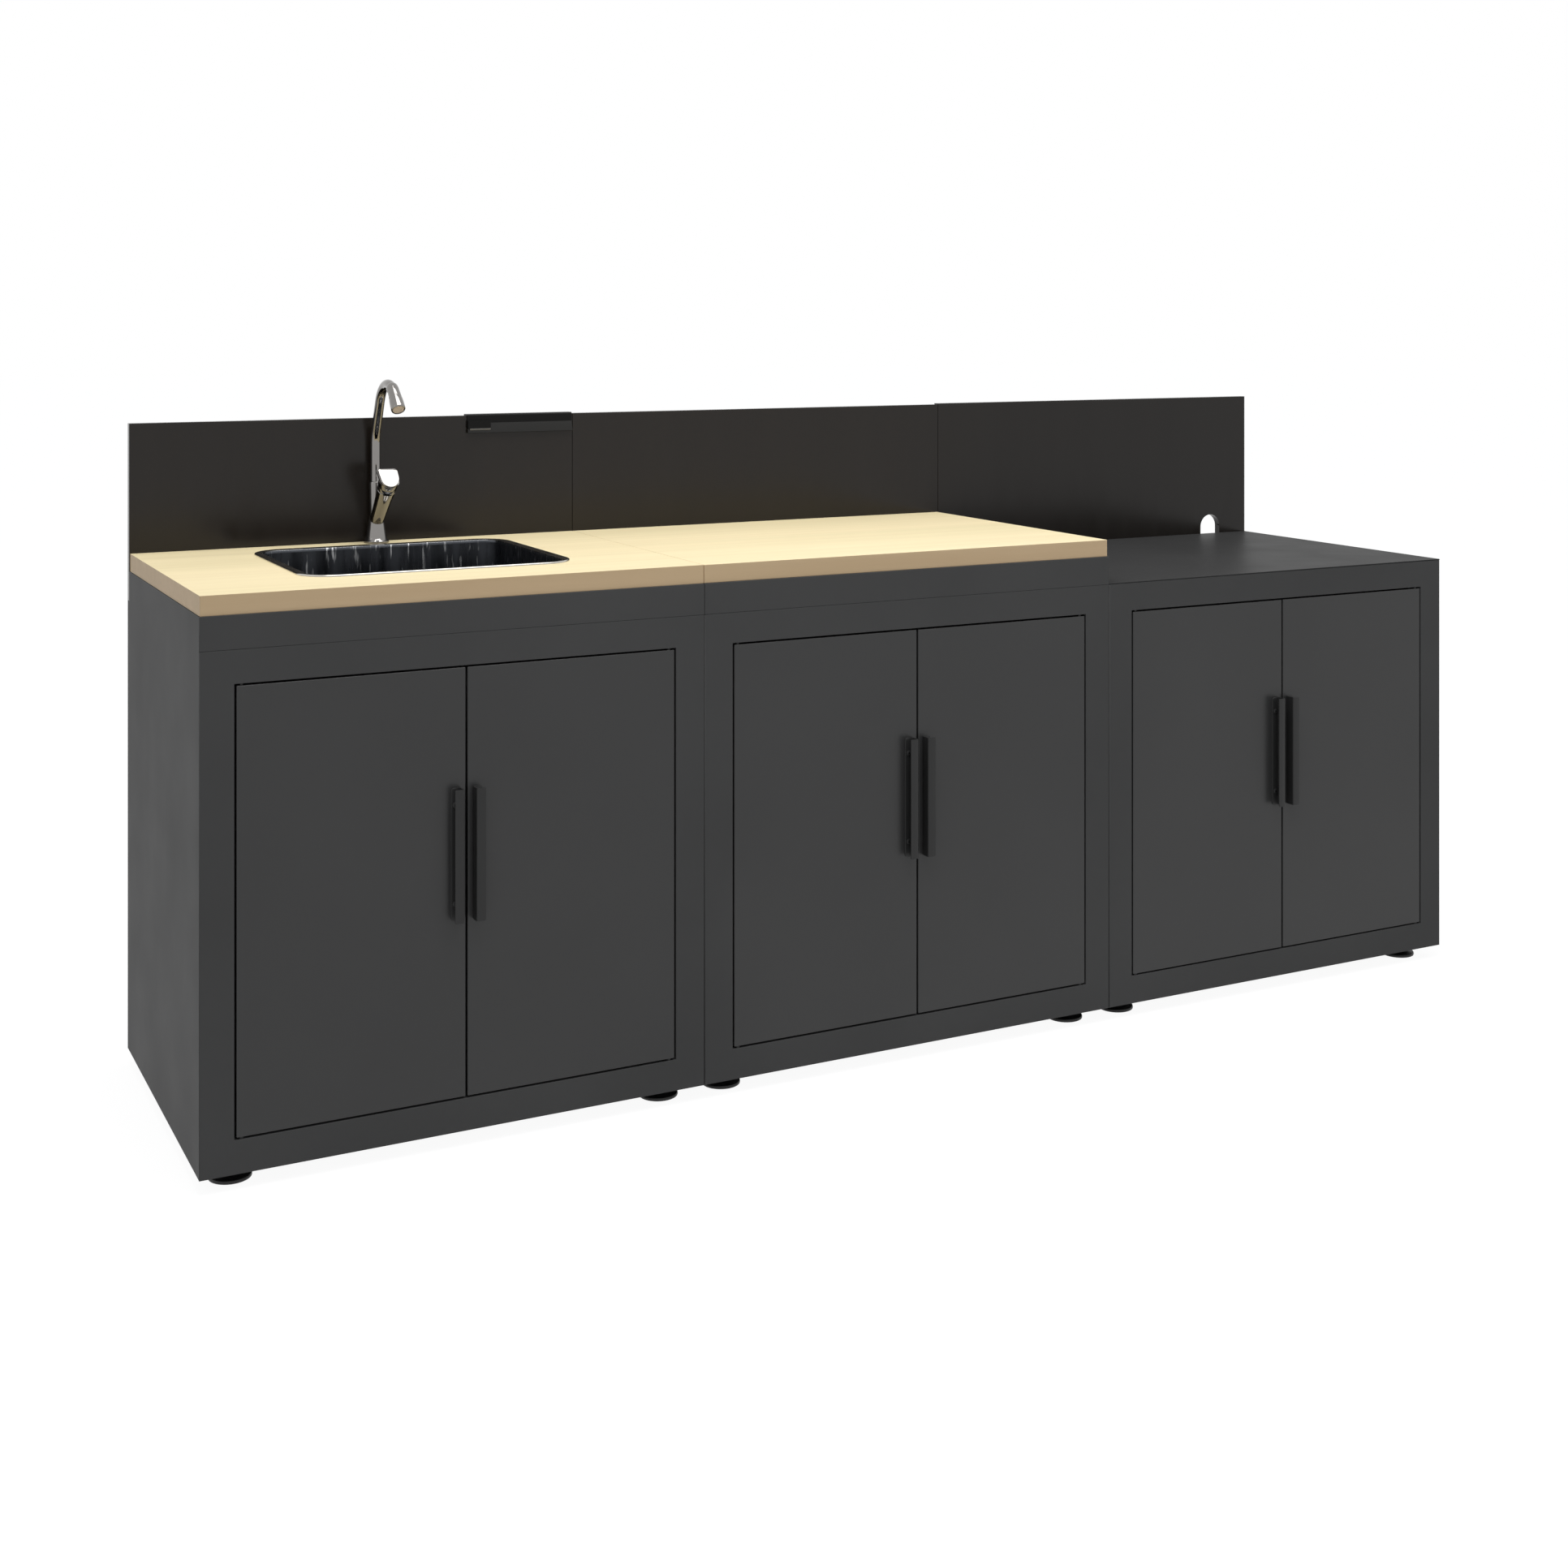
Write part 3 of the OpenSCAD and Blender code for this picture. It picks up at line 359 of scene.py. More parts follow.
# %% Building blocks of a finish
def new_finish(name, colour, roughness, metallic=0, specular=0.5):
    """Material with one shader, and its tree and shader."""
    material = bpy.data.materials.new(name)
    material.use_nodes = True
    tree = material.node_tree
    shader = tree.nodes["Principled BSDF"]
    shader.inputs["Base Color"].default_value = (*colour, 1)
    shader.inputs["Roughness"].default_value = roughness
    shader.inputs["Metallic"].default_value = metallic
    shader.inputs["Specular IOR Level"].default_value = specular
    return material, tree, shader


def stretched_noise(tree, per_metre, detail=3):
    """Noise with its own number of grains per metre along X, Y and Z."""
    where = tree.nodes.new("ShaderNodeTexCoord")
    stretch = tree.nodes.new("ShaderNodeMapping")
    stretch.inputs["Scale"].default_value = per_metre
    noise = tree.nodes.new("ShaderNodeTexNoise")
    noise.inputs["Scale"].default_value = 1
    noise.inputs["Detail"].default_value = detail
    tree.links.new(where.outputs["Object"], stretch.inputs["Vector"])
    tree.links.new(stretch.outputs["Vector"], noise.inputs["Vector"])
    return noise.outputs["Fac"]


def spread(tree, value, low, high, from_low=0.3, from_high=0.7):
    """Maps the middle of a noise to a range of values."""
    remap = tree.nodes.new("ShaderNodeMapRange")
    remap.inputs["From Min"].default_value = from_low
    remap.inputs["From Max"].default_value = from_high
    remap.inputs["To Min"].default_value = low
    remap.inputs["To Max"].default_value = high
    tree.links.new(value, remap.inputs["Value"])
    return remap.outputs["Result"]


def two_colours(tree, value, first, second):
    """Goes from one colour to another with a value."""
    mix = tree.nodes.new("ShaderNodeMix")
    mix.data_type = "RGBA"
    mix.inputs["A"].default_value = (*first, 1)
    mix.inputs["B"].default_value = (*second, 1)
    tree.links.new(value, mix.inputs["Factor"])
    return mix.outputs["Result"]


def multiplied(tree, first, second):
    """One colour multiplied by another."""
    mix = tree.nodes.new("ShaderNodeMix")
    mix.data_type = "RGBA"
    mix.blend_type = "MULTIPLY"
    mix.inputs["Factor"].default_value = 1
    tree.links.new(first, mix.inputs["A"])
    tree.links.new(second, mix.inputs["B"])
    return mix.outputs["Result"]


def uneven_colour(tree, shader, tone, colour, darkest, lightest):
    """Lets a value from 0 to 1 move the colour between a darker and a lighter shade of itself."""
    dark = tuple(c * darkest for c in colour)
    light = tuple(c * lightest for c in colour)
    tree.links.new(two_colours(tree, tone, dark, light), shader.inputs["Base Color"])


def relief(tree, shader, value, depth):
    """Bump from a height value; the depth is in metres."""
    bump = tree.nodes.new("ShaderNodeBump")
    bump.inputs["Distance"].default_value = depth
    bump.inputs["Strength"].default_value = 1
    tree.links.new(value, bump.inputs["Height"])
    tree.links.new(bump.outputs["Normal"], shader.inputs["Normal"])


# %% Powder coat, plain and smooth
gloss_change = 0.03
peel_grain = (420, 420, 420)


def powder_coat(name, colour, roughness, specular, peel_depth, streaks=(3, 3, 3)):
    """Baked powder paint: a fine orange peel, slightly uneven gloss and tone."""
    material, tree, shader = new_finish(name, colour, roughness, 0, specular)
    tone = spread(tree, stretched_noise(tree, streaks, 4), 0, 1)
    uneven_colour(tree, shader, tone, colour, 0.93, 1.07)
    gloss = stretched_noise(tree, tuple(2.5 * s for s in streaks), 3)
    gloss = spread(tree, gloss, roughness - gloss_change, roughness + gloss_change)
    tree.links.new(gloss, shader.inputs["Roughness"])
    relief(tree, shader, stretched_noise(tree, peel_grain, 2), peel_depth)
    return material


def grey(level):
    """A neutral colour."""
    return level, level, level


coarse_peel, fine_peel, finest_peel = 0.00002, 0.000012, 0.00001
upright_streaks = (14, 14, 1.5)
splash_black = (0.0130, 0.0104, 0.0086)
cabinet_paint = powder_coat("cabinet powder coat", grey(0.074), 0.6, 0.11, coarse_peel)
door_paint = powder_coat("door powder coat", grey(0.040), 0.32, 0.36, coarse_peel)
deck_paint = powder_coat("deck satin coat", grey(0.042), 0.42, 0.015, fine_peel)
splash_paint = powder_coat("splash gloss coat", splash_black, 0.2, 0.28, fine_peel, upright_streaks)
rail_black = powder_coat("rail black", grey(0.005), 0.3, 0.12, finest_peel)
# A lighter copy of the rail's dark paint for its apron: painted light.
apron_painted_light = powder_coat("rail apron coat painted light", grey(0.022), 0.4, 0.15, fine_peel)
# A light grey strip along the lower edge of the rail's tab: a painted highlight.
tab_painted_highlight = powder_coat("tab painted highlight coat", grey(0.13), 0.4, 0.3, fine_peel)
handle_black = powder_coat("handle black", grey(0.024), 0.45, 0.3, finest_peel)

# %% [markdown]
# The feet and the waste pipes are moulded plastic, which is even in colour and has the fine matt
# grain of the mould. The wood is pale and close grained: long faint streaks along the board, finer
# pores in the same direction, and a slow change of tone from plank to plank. Faces that don't look
# up are painted darker and redder, a painted shade for the weaker light on the boards' edges.

# %% Plastics
def moulded_plastic(name, colour, roughness):
    """Matt plastic with a mould's grain."""
    material, tree, shader = new_finish(name, colour, roughness, 0, 0.4)
    tone = spread(tree, stretched_noise(tree, (25, 25, 25), 3), 0, 1)
    uneven_colour(tree, shader, tone, colour, 0.9, 1.1)
    relief(tree, shader, stretched_noise(tree, (900, 900, 900), 2), 0.00003)
    return material


foot_black = moulded_plastic("foot plastic", grey(0.010), 0.45)
waste_plastic = moulded_plastic("waste plastic", (0.62, 0.62, 0.60), 0.4)
# The outlet screen's pale beige is raised near white: partly its colour, partly painted light for
# its shaded, downward face.
screen_colour_and_painted_light = moulded_plastic("outlet screen plastic painted light", (0.95, 0.80, 0.66), 0.5)

# %% Wood
pale_wood, wood_tree, wood_shader = new_finish("pale oiled wood", (0.8, 0.66, 0.42), 0.5, 0, 0.3)
streak = spread(wood_tree, stretched_noise(wood_tree, (1.6, 55, 55), 4), 0, 1, 0.25, 0.75)
streak_colour = two_colours(wood_tree, streak, (0.90, 0.755, 0.47), (0.97, 0.83, 0.53))
plank = spread(wood_tree, stretched_noise(wood_tree, (0.7, 9, 9), 1), 0, 1, 0.35, 0.65)
unchanged = (1.0, 1.0, 1.0)
plank_colour = two_colours(wood_tree, plank, (0.94, 0.95, 0.93), unchanged)
# Painted shade: faces that don't look up are made darker and redder, standing in for the weaker
# light on the edges.
facing = wood_tree.nodes.new("ShaderNodeTexCoord")
facing_up = wood_tree.nodes.new("ShaderNodeSeparateXYZ")
wood_tree.links.new(facing.outputs["Normal"], facing_up.inputs[0])
on_top = spread(wood_tree, facing_up.outputs["Z"], 0, 1, 0.3, 0.9)
edge_painted_shade = two_colours(wood_tree, on_top, (0.71, 0.61, 0.59), unchanged)
wood_colour = multiplied(wood_tree, multiplied(wood_tree, streak_colour, plank_colour), edge_painted_shade)
wood_tree.links.new(wood_colour, wood_shader.inputs["Base Color"])
pores = stretched_noise(wood_tree, (14, 700, 700), 2)
wood_tree.links.new(spread(wood_tree, pores, 0.44, 0.58), wood_shader.inputs["Roughness"])
relief(wood_tree, wood_shader, pores, 0.00008)

# %% [markdown]
# Chrome and stainless steel have no colour of their own to speak of: they show what is around them.
# A little noise in the roughness stops them from looking like a perfect mirror. The sink's inside
# is a darker, bluer copy of the rim's polish, painted shade, with bright upright streaks in its
# colour that are painted reflections.

# %% Metals
metal_wave = 0.000015


def polished_metal(name, colour, roughness, grain=(30, 30, 30)):
    """Metal with slightly uneven gloss and a faint wave in its surface."""
    material, tree, shader = new_finish(name, colour, roughness, 1)
    gloss = spread(tree, stretched_noise(tree, grain, 3), roughness * 0.7, roughness * 1.4)
    tree.links.new(gloss, shader.inputs["Roughness"])
    tone = spread(tree, stretched_noise(tree, grain, 2), 0, 1)
    uneven_colour(tree, shader, tone, colour, 0.95, 1)
    relief(tree, shader, stretched_noise(tree, (22, 22, 22), 1), metal_wave)
    return material


chrome = polished_metal("chrome", (0.25, 0.24, 0.23), 0.05)
rim_steel = polished_metal("polished rim steel", (0.52, 0.50, 0.46), 0.15)
# Painted shade and reflections: the bowl's steel is a darker, bluer copy of the rim's, and bright
# upright streaks in its colour stand in for reflections.
bowl_steel_painted_shade, bowl_tree, bowl_shader = new_finish(
    "bowl steel with painted shade and reflections", (0.12, 0.125, 0.135), 0.28, 1)
painted_reflection_streaks = spread(bowl_tree, stretched_noise(bowl_tree, (170, 170, 22), 2), 0, 1, 0.60, 0.74)
bowl_painted_shade_and_reflections = two_colours(bowl_tree, painted_reflection_streaks, (0.075, 0.08, 0.09), (0.75, 0.76, 0.77))
bowl_tree.links.new(bowl_painted_shade_and_reflections, bowl_shader.inputs["Base Color"])
bowl_gloss = spread(bowl_tree, stretched_noise(bowl_tree, (60, 60, 6), 3), 0.2, 0.36)
bowl_tree.links.new(bowl_gloss, bowl_shader.inputs["Roughness"])
relief(bowl_tree, bowl_shader, stretched_noise(bowl_tree, (40, 40, 5), 2), 0.0002)
zinc = polished_metal("zinc plate", (0.45, 0.46, 0.48), 0.35, (200, 200, 200))
print(len(bpy.data.materials), "finishes")

# %% [markdown]
# ## Cabinets
# Each cabinet is folded from painted sheet: side walls, a base, a back, and a front frame whose
# inner edges turn in round the doors. The solids already have these folds, so they are welded and
# their outer edges get the small radius that a press brake leaves. Where two sheets are welded and
# ground flush, as at the front corner, the edge stays square so that no false groove appears. The
# bases are out of sight, so their solids only get the paint.

# %% Shells of the three cabinets
fold_radius = 0.0015
sheet = 0.0015
front_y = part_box("sink_frame")[0].y
back_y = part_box("sink_back")[1].y
front_seam = (1, front_y + sheet)
back_seam = (1, back_y - sheet)
both_seams = [front_seam, back_seam]
for cabinet in cabinets:
    for side in sides:
        from_solid(f"{cabinet}_side_{side}", cabinet_paint, fold_radius, both_seams)
    from_solid(f"{cabinet}_back", cabinet_paint, fold_radius, [back_seam])
    from_solid(f"{cabinet}_frame", cabinet_paint, fold_radius, [front_seam])
    refinish(f"{cabinet}_base", cabinet_paint)
from_solid("prep_shelf", cabinet_paint, fold_radius)

# %% [markdown]
# The risers lift the wooden worktops, and the right cabinet has only a bare steel deck. The doors
# are shallow pans with a lip at the back and have nearly the same radius as the cabinets. Risers
# and deck are bent more sharply, so their radius is smaller.

# %% Risers, deck and doors
riser_radius = 0.0006
deck_radius = 0.0009
door_radius = 0.0014
for cabinet in ("sink", "prep"):
    from_solid(f"{cabinet}_riser", cabinet_paint, riser_radius)
from_solid("grill_deck", deck_paint, deck_radius)
for cabinet in cabinets:
    for side in sides:
        from_solid(f"{cabinet}_door_{side}", door_paint, door_radius)

# %% [markdown]
# ## Splash panels and worktops
# The splash panels are folded pans too, one with an arched opening cut through it. The worktops are
# solid boards whose edges a router has just broken.

# %% Panels and boards
panel_radius = 0.0005
board_radius = 0.0009
for cabinet in cabinets:
    from_solid(f"{cabinet}_splash", splash_paint, panel_radius)
for cabinet in ("sink", "prep"):
    from_solid(f"{cabinet}_worktop", pale_wood, board_radius)

# %% [markdown]
# ## Handles
# A handle is one strip of black sheet folded twice: a foot screwed to the door, a web standing out
# from it, and a lip turned back towards the foot. Its section is drawn once with the real bend
# radii and then carried up the handle in rings. Near both ends the foot and the lip are cut back in
# a quarter circle, which is how such a blank is rounded before it is folded.

# %% One handle
handle_foot = 0.016
handle_lip = 0.015
handle_reach = 0.020
handle_sheet = 0.002
foot_corner = 0.005
lip_corner = 0.002
screw_from_end = 0.026
screw_head = [(0, 0.0008), (0.0016, 0.0008), (0.0018, 0.0020), (0.0030, 0.0018), (0.0041, 0.0011),
              (0.0044, 0)]


def cut_back(rise, corner):
    """How far a rounded corner takes the edge back at a height above the strip's end."""
    if rise >= corner:
        return 0
    return corner - (corner ** 2 - (corner - rise) ** 2) ** 0.5


def handle_section(foot_cut, lip_cut):
    """Section of the folded strip: x from the foot's edge to the web, y out from the door."""
    t = handle_sheet
    edge = 0.0008
    inner = 0.0006
    outer = inner + t
    lip_x = handle_foot - handle_lip + lip_cut
    return rounded_path([
        (foot_cut, 0, 0.0002), (handle_foot, 0, outer), (handle_foot, handle_reach, outer),
        (lip_x, handle_reach, edge), (lip_x, handle_reach - t, edge),
        (handle_foot - t, handle_reach - t, inner), (handle_foot - t, t, inner),
        (foot_cut, t, edge)])


def make_handle(cabinet, side):
    """Folded strip with its two screws, for the left or the right door."""
    node = f"{cabinet}_handle_{side}"
    low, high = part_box(node)
    out = -1 if side == "right" else 1
    foot_x = low.x if side == "left" else high.x
    length = high.z - low.z
    arc = [foot_corner * (1 - cos(radians(a))) for a in (0, 15, 30, 45, 60, 75, 90)]
    rises = arc + [length - rise for rise in reversed(arc)]
    rings = []
    for rise in rises:
        near_end = min(rise, length - rise)
        section = handle_section(cut_back(near_end, foot_corner), cut_back(near_end, lip_corner))
        rings.append([Vector((foot_x + out * p.x, front_y - p.y, low.z + rise)) for p in section])
    shape = bmesh.new()
    skin_rings(shape, rings)
    screw_x = foot_x + out * (handle_foot - handle_sheet) / 2
    towards_front = Matrix.Rotation(radians(90), 3, "X")
    for z in (low.z + screw_from_end, high.z - screw_from_end):
        turned(shape, screw_head, at((screw_x, front_y - handle_sheet, z), towards_front), 24)
    piece = finished_piece(node + "_finished", closed_up(shape), handle_black, [node])
    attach(piece, body_with[node])


for cabinet in cabinets:
    for side in sides:
        make_handle(cabinet, side)

# %% [markdown]
# ## Feet
# A levelling foot is a moulded disc with a soft rim and a flared neck on a threaded stem. It is
# turned from one profile. The thread is drawn as grooves, which shows when the foot is screwed out.

# %% One foot
foot_height = 0.024
foot_radius = 0.032
neck_radius = 0.012
rim_height = 0.005
stem_radius = 0.005
thread_pitch = 0.0015


def foot_profile(stem_top):
    """Rim, concave flare, neck and threaded stem."""
    rim = rounded_path([
        (0, 0, 0), (foot_radius - 0.0004, 0, 0.0008), (foot_radius, rim_height * 0.5, 0.004),
        (foot_radius - 0.0008, rim_height + 0.0002, 0.0012),
        (foot_radius - 0.004, rim_height + 0.0008, 0)], closed=False)
    profile = [(p.x, p.y) for p in rim]
    flare = foot_height - rim_height
    for angle in range(80, -1, -10):
        a = radians(angle)
        radius = neck_radius + flare * (1 - cos(a))
        height = foot_height - flare * sin(a)
        if radius < foot_radius - 0.0045:
            profile.append((radius, height))
    profile.append((neck_radius - 0.0006, foot_height))
    profile.append((stem_radius - 0.0005, foot_height))
    height = foot_height + thread_pitch / 2
    while height < stem_top - thread_pitch:
        profile.append((stem_radius, height))
        profile.append((stem_radius - 0.0007, height + thread_pitch / 2))
        height += thread_pitch
    profile.append((stem_radius - 0.001, stem_top))
    return profile


def make_foot(node):
    """Turned foot at the place of its solid."""
    low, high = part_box(node)
    middle = (low + high) / 2
    shape = bmesh.new()
    turned(shape, foot_profile(high.z - low.z), at((middle.x, middle.y, low.z)), 40)
    piece = finished_piece(node + "_finished", closed_up(shape), foot_black, [node])
    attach(piece, body_with[node])
    return piece


feet = [make_foot(node) for node in sorted(body_with) if "_foot_" in node]
print(len(feet), "feet")

# %% [markdown]
# ## Hooked rail
# A slim folded strip hangs over the top of the left splash panel, with a sloping apron in front and
# a dark tab at its left end. Its section is carried along the panel between two rings. The apron's
# faces get a lighter copy of the rail's paint, painted light where the apron catches it. The tab is
# a small separate block that moves with it, and a thin lighter strip below it is a painted
# highlight.

# %% Rail
rail_low, rail_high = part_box("hook_rail")
panel_low, panel_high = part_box("sink_splash")
rail_sheet = 0.002
rail_air = 0.0004
rail_leg = 0.014
apron = 0.018
apron_out = 0.005
front_leg = panel_low.y - rail_air - rail_sheet
back_leg = panel_high.y + rail_air
top = panel_high.z
bend = 0.0024
section = rounded_path([
    (back_leg, rail_low.z, 0.0005), (back_leg + rail_sheet, rail_low.z, 0.0005),
    (back_leg + rail_sheet, rail_high.z, bend), (front_leg, rail_high.z, bend),
    (front_leg, top - rail_leg, 0.004), (front_leg - apron_out, top - rail_leg - apron, 0.0005),
    (front_leg - apron_out + rail_sheet, top - rail_leg - apron, 0.0005),
    (front_leg + rail_sheet, top - rail_leg, 0.004),
    (front_leg + rail_sheet, top + rail_air, 0.0004), (back_leg, top + rail_air, 0.0004)])
shape = carried(section, (rail_low.x, rail_high.x), lambda y, z, x: (x, y, z))
# Painted light: the apron's faces, which look forward and a little up, take the lighter paint.
for face in shape.faces:
    if face.normal.y < -0.9 and face.normal.z > 0.1:
        face.material_index = 1
rail = finished_piece("hook_rail_strip", shape, rail_black, ["hook_rail"])
rail.data.materials.append(apron_painted_light)
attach(rail, body_with["hook_rail"])

# %% Tab of the rail
tab_length = 0.043
tab_low = top - rail_leg - apron / 2
tab_top = tab_low + rail_leg
outline = rounded_path([
    (rail_low.x, tab_low, 0.001), (rail_low.x + tab_length, tab_low, 0.001),
    (rail_low.x + tab_length, tab_top, 0.001), (rail_low.x, tab_top, 0.001)])
shape = carried(outline, (front_leg - apron_out, front_leg + rail_sheet), lambda x, z, y: (x, y, z))
tab = finished_piece("hook_rail_tab", shape, rail_black, [])
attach(tab, body_with["hook_rail"])

# %% The tab's lighter lower edge, a painted highlight
edge_high = 0.004
edge_setback = 0.004
edge_top = tab_low - 0.0002
outline = rounded_path([
    (tab_low - edge_high, front_leg - apron_out + 0.001, 0.0008),
    (edge_top, front_leg - apron_out, 0.0008), (edge_top, front_leg, 0.0004),
    (tab_low - edge_high, front_leg, 0.0004)])
ends = (rail_low.x + edge_setback, rail_low.x + tab_length)
shape = carried(outline, ends, lambda z, y, x: (x, y, z))
edge = finished_piece("hook_rail_tab_painted_highlight", shape, tab_painted_highlight, [])
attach(edge, body_with["hook_rail"])

# %% [markdown]
# ## Sink
# The sink is one pressed sheet: a rolled rim standing on the wood, a bead, steep walls with a soft
# bottom radius and a floor that falls to the waste. The shape is a row of rounded rectangles, each
# with its own width, corner radius and height, which turn into a circle at the waste. The rim's
# rings have the bright polish, and those below it the darker copy with painted shade and painted
# reflections. A Solidify modifier gives the sheet its thickness downwards.

# %% Bowl
bowl_low, bowl_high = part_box("sink_bowl")
sink_middle = (bowl_low + bowl_high) / 2
sink_w = bowl_high.x - bowl_low.x
sink_d = bowl_high.y - bowl_low.y
wood_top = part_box("sink_worktop")[1].z
bowl_floor = bowl_low.z + sheet
bowl_sheet = 0.0012
waste_hole = 0.042
rim_width = 0.015
wall_corner = 0.032
wall_top = 0.003
wall_taper = 0.004
floor_bend = 0.024
floor_fall = 0.003
floor_corner = 0.014
rim_rings = [
    # inset, height over the wood and corner radius, all in millimetres
    (0, 0.2, 55), (0, 1.4, 55), (0.4, 2.4, 54.6), (1.4, 3.0, 53.6), (3.5, 2.9, 51), (8.5, 2.2, 44),
    (13.6, 2.2, 34), (14.5, 1.8, 32.6), (15.0, 1.0, 32), (15.0, -3, 32)]


def rounded_ring(width, depth, corner, height, steps=8):
    """Rounded rectangle round the sink's middle."""
    ring = []
    for quarter, (x, y) in enumerate(((1, 1), (-1, 1), (-1, -1), (1, -1))):
        for k in range(steps + 1):
            a = radians(90) * (quarter + k / steps)
            px = x * (width / 2 - corner) + corner * cos(a)
            py = y * (depth / 2 - corner) + corner * sin(a)
            ring.append(Vector((sink_middle.x + px, sink_middle.y + py, height)))
    return ring


def bowl_rings():
    """Rings from the rim's outer edge down to the waste."""
    rings = []
    for inset, rise, corner in rim_rings:
        width, depth = sink_w - 2 * inset / 1000, sink_d - 2 * inset / 1000
        rings.append(rounded_ring(width, depth, corner / 1000, wood_top + rise / 1000))
    wall_w, wall_d = sink_w - 2 * rim_width, sink_d - 2 * rim_width
    for share in (0.1, 0.35, 0.65, 0.95):
        height = wood_top - wall_top - share * (wood_top - wall_top - bowl_floor - floor_bend)
        inset = wall_taper * share
        rings.append(rounded_ring(wall_w - 2 * inset, wall_d - 2 * inset, wall_corner, height))
    for angle in (10, 25, 40, 55, 70, 85):
        inward = floor_bend * (1 - cos(radians(angle)))
        inset = wall_taper + inward
        height = bowl_floor + floor_fall + floor_bend * (1 - sin(radians(angle)))
        corner = wall_corner - inward * 0.7
        rings.append(rounded_ring(wall_w - 2 * inset, wall_d - 2 * inset, corner, height))
    edge_w = wall_w - 2 * (wall_taper + floor_bend)
    edge_d = wall_d - 2 * (wall_taper + floor_bend)
    hole = 2 * waste_hole + 0.012
    for share in (0.1, 0.3, 0.5, 0.7, 0.85, 1):
        w = edge_w + (hole - edge_w) * share
        d = edge_d + (hole - edge_d) * share
        corner = floor_corner + (hole / 2 - floor_corner) * share
        rings.append(rounded_ring(w, d, corner, bowl_floor + floor_fall * (1 - share) ** 1.3))
    rings.append(rounded_ring(2 * waste_hole, 2 * waste_hole, waste_hole, bowl_floor))
    return rings


shape = bmesh.new()
rings = bowl_rings()
skin_rings(shape, rings, "open")
ring_points = len(rings[0])
flat_rings = 7
smooth_and_mark(shape, radians(60))
# Faces below the rim's rings take the bowl steel with its painted shade and painted reflections.
for index, face in enumerate(shape.faces):
    face.normal_update()
    if index >= flat_rings * ring_points:
        face.material_index = 1
rim_faces_up = max(shape.faces, key=lambda face: face.calc_center_median().z).normal.z > 0
bowl = finished_piece("sink_bowl_pressing", shape, rim_steel, ["sink_bowl"])
bowl.data.materials.append(bowl_steel_painted_shade)
thickness = bowl.modifiers.new("sheet", "SOLIDIFY")
thickness.thickness = bowl_sheet
thickness.offset = -1 if rim_faces_up else 1
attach(bowl, body_with["sink_bowl"])

# %% [markdown]
# The waste is a turned cup with a polished flange in the bowl's floor. The strainer in it lifts
# out: its slotted cup comes from the measured solid, and a domed knob is turned for it.

# %% Waste, strainer and trap
waste_low, waste_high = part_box("sink_waste")
waste_axis = at((sink_middle.x, sink_middle.y, 0))
flange_top = waste_high.z
cup_deep = 0.036
flange = [
    (0.0400, flange_top - cup_deep), (0.0400, flange_top - 0.0012), (0.0406, flange_top - 0.0003),
    (0.0420, flange_top), (0.0500, flange_top - 0.0004), (0.0516, flange_top - 0.001),
    (0.0520, flange_top - 0.002), (0.0420, flange_top - 0.0022), (0.0420, flange_top - 0.038),
    (0.0200, flange_top - 0.038), (0.0200, waste_low.z), (0.0180, waste_low.z),
    (0.0180, flange_top - cup_deep)]
shape = bmesh.new()
turned(shape, flange, waste_axis, 64, joined=True)
waste = finished_piece("sink_waste_cup", closed_up(shape), rim_steel, ["sink_waste"])
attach(waste, body_with["sink_waste"])
from_solid("sink_strainer", chrome, 0.0003)
strainer_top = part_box("sink_strainer")[1].z
knob = [(0, 0.0012), (0.006, 0.001), (0.0105, 0.0002), (0.013, -0.0016), (0.0128, -0.0022),
        (0, -0.0022)]
shape = bmesh.new()
turned(shape, [(radius, strainer_top + rise) for radius, rise in knob], waste_axis, 40)
knob_piece = finished_piece("sink_strainer_knob", closed_up(shape), chrome, [])
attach(knob_piece, body_with["sink_strainer"])
from_solid("sink_trap", waste_plastic, 0.0008)

# %% [markdown]
# ## Tap
# The tap is a chromed casting: a flange, a smooth cone, and a mixer that leans forward out of it.
# The spout's sleeve stands behind. Cone and mixer are turned shapes that run into each other, as
# the two bores of the real casting do.

# %% Places on the tap
body_low, body_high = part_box("tap_body")
base_radius = 0.022
lean = radians(45)
mixer_len = 0.094
mixer_r = 0.0125
mixer_rise = 0.046
tube_back = 0.007
tap_foot = Vector(((body_low.x + body_high.x) / 2, body_high.y - base_radius, wood_top))
ball_z = mixer_rise - mixer_r * sin(lean) + mixer_len * cos(lean)
ball = tap_foot + Vector((0, -mixer_len * sin(lean), ball_z))
mixer_turn = Matrix.Rotation(lean, 3, "X")
on_mixer = at(ball, mixer_turn)
tube_foot = tap_foot + Vector((0, tube_back, 0))
print("tap stands at", tap_foot, "and its ball is at", ball)

# %% Casting
cone = rounded_path([
    (0, 0, 0), (base_radius, 0, 0.0004), (base_radius, 0.0036, 0.0014), (0.0200, 0.0056, 0.002),
    (0.0182, 0.0090, 0.005), (0.0150, 0.030, 0.05), (0.0130, 0.0440, 0.004), (0.0095, 0.0470, 0)],
    steps=5, closed=False)
shape = bmesh.new()
turned(shape, [(p.x, p.y) for p in cone] + [(0, 0.0478)], at(tap_foot), 56)
mixer = [(0, -0.096), (0.0110, -0.0955), (0.0124, -0.092), (0.0130, -0.075), (0.0140, -0.045),
         (0.0153, -0.022), (0.0164, -0.0080), (0.0166, -0.0055), (0.0160, -0.0046), (0, -0.0044)]
turned(shape, mixer, on_mixer, 56)
sleeve_top = 0.108
sleeve_bore = 0.00856
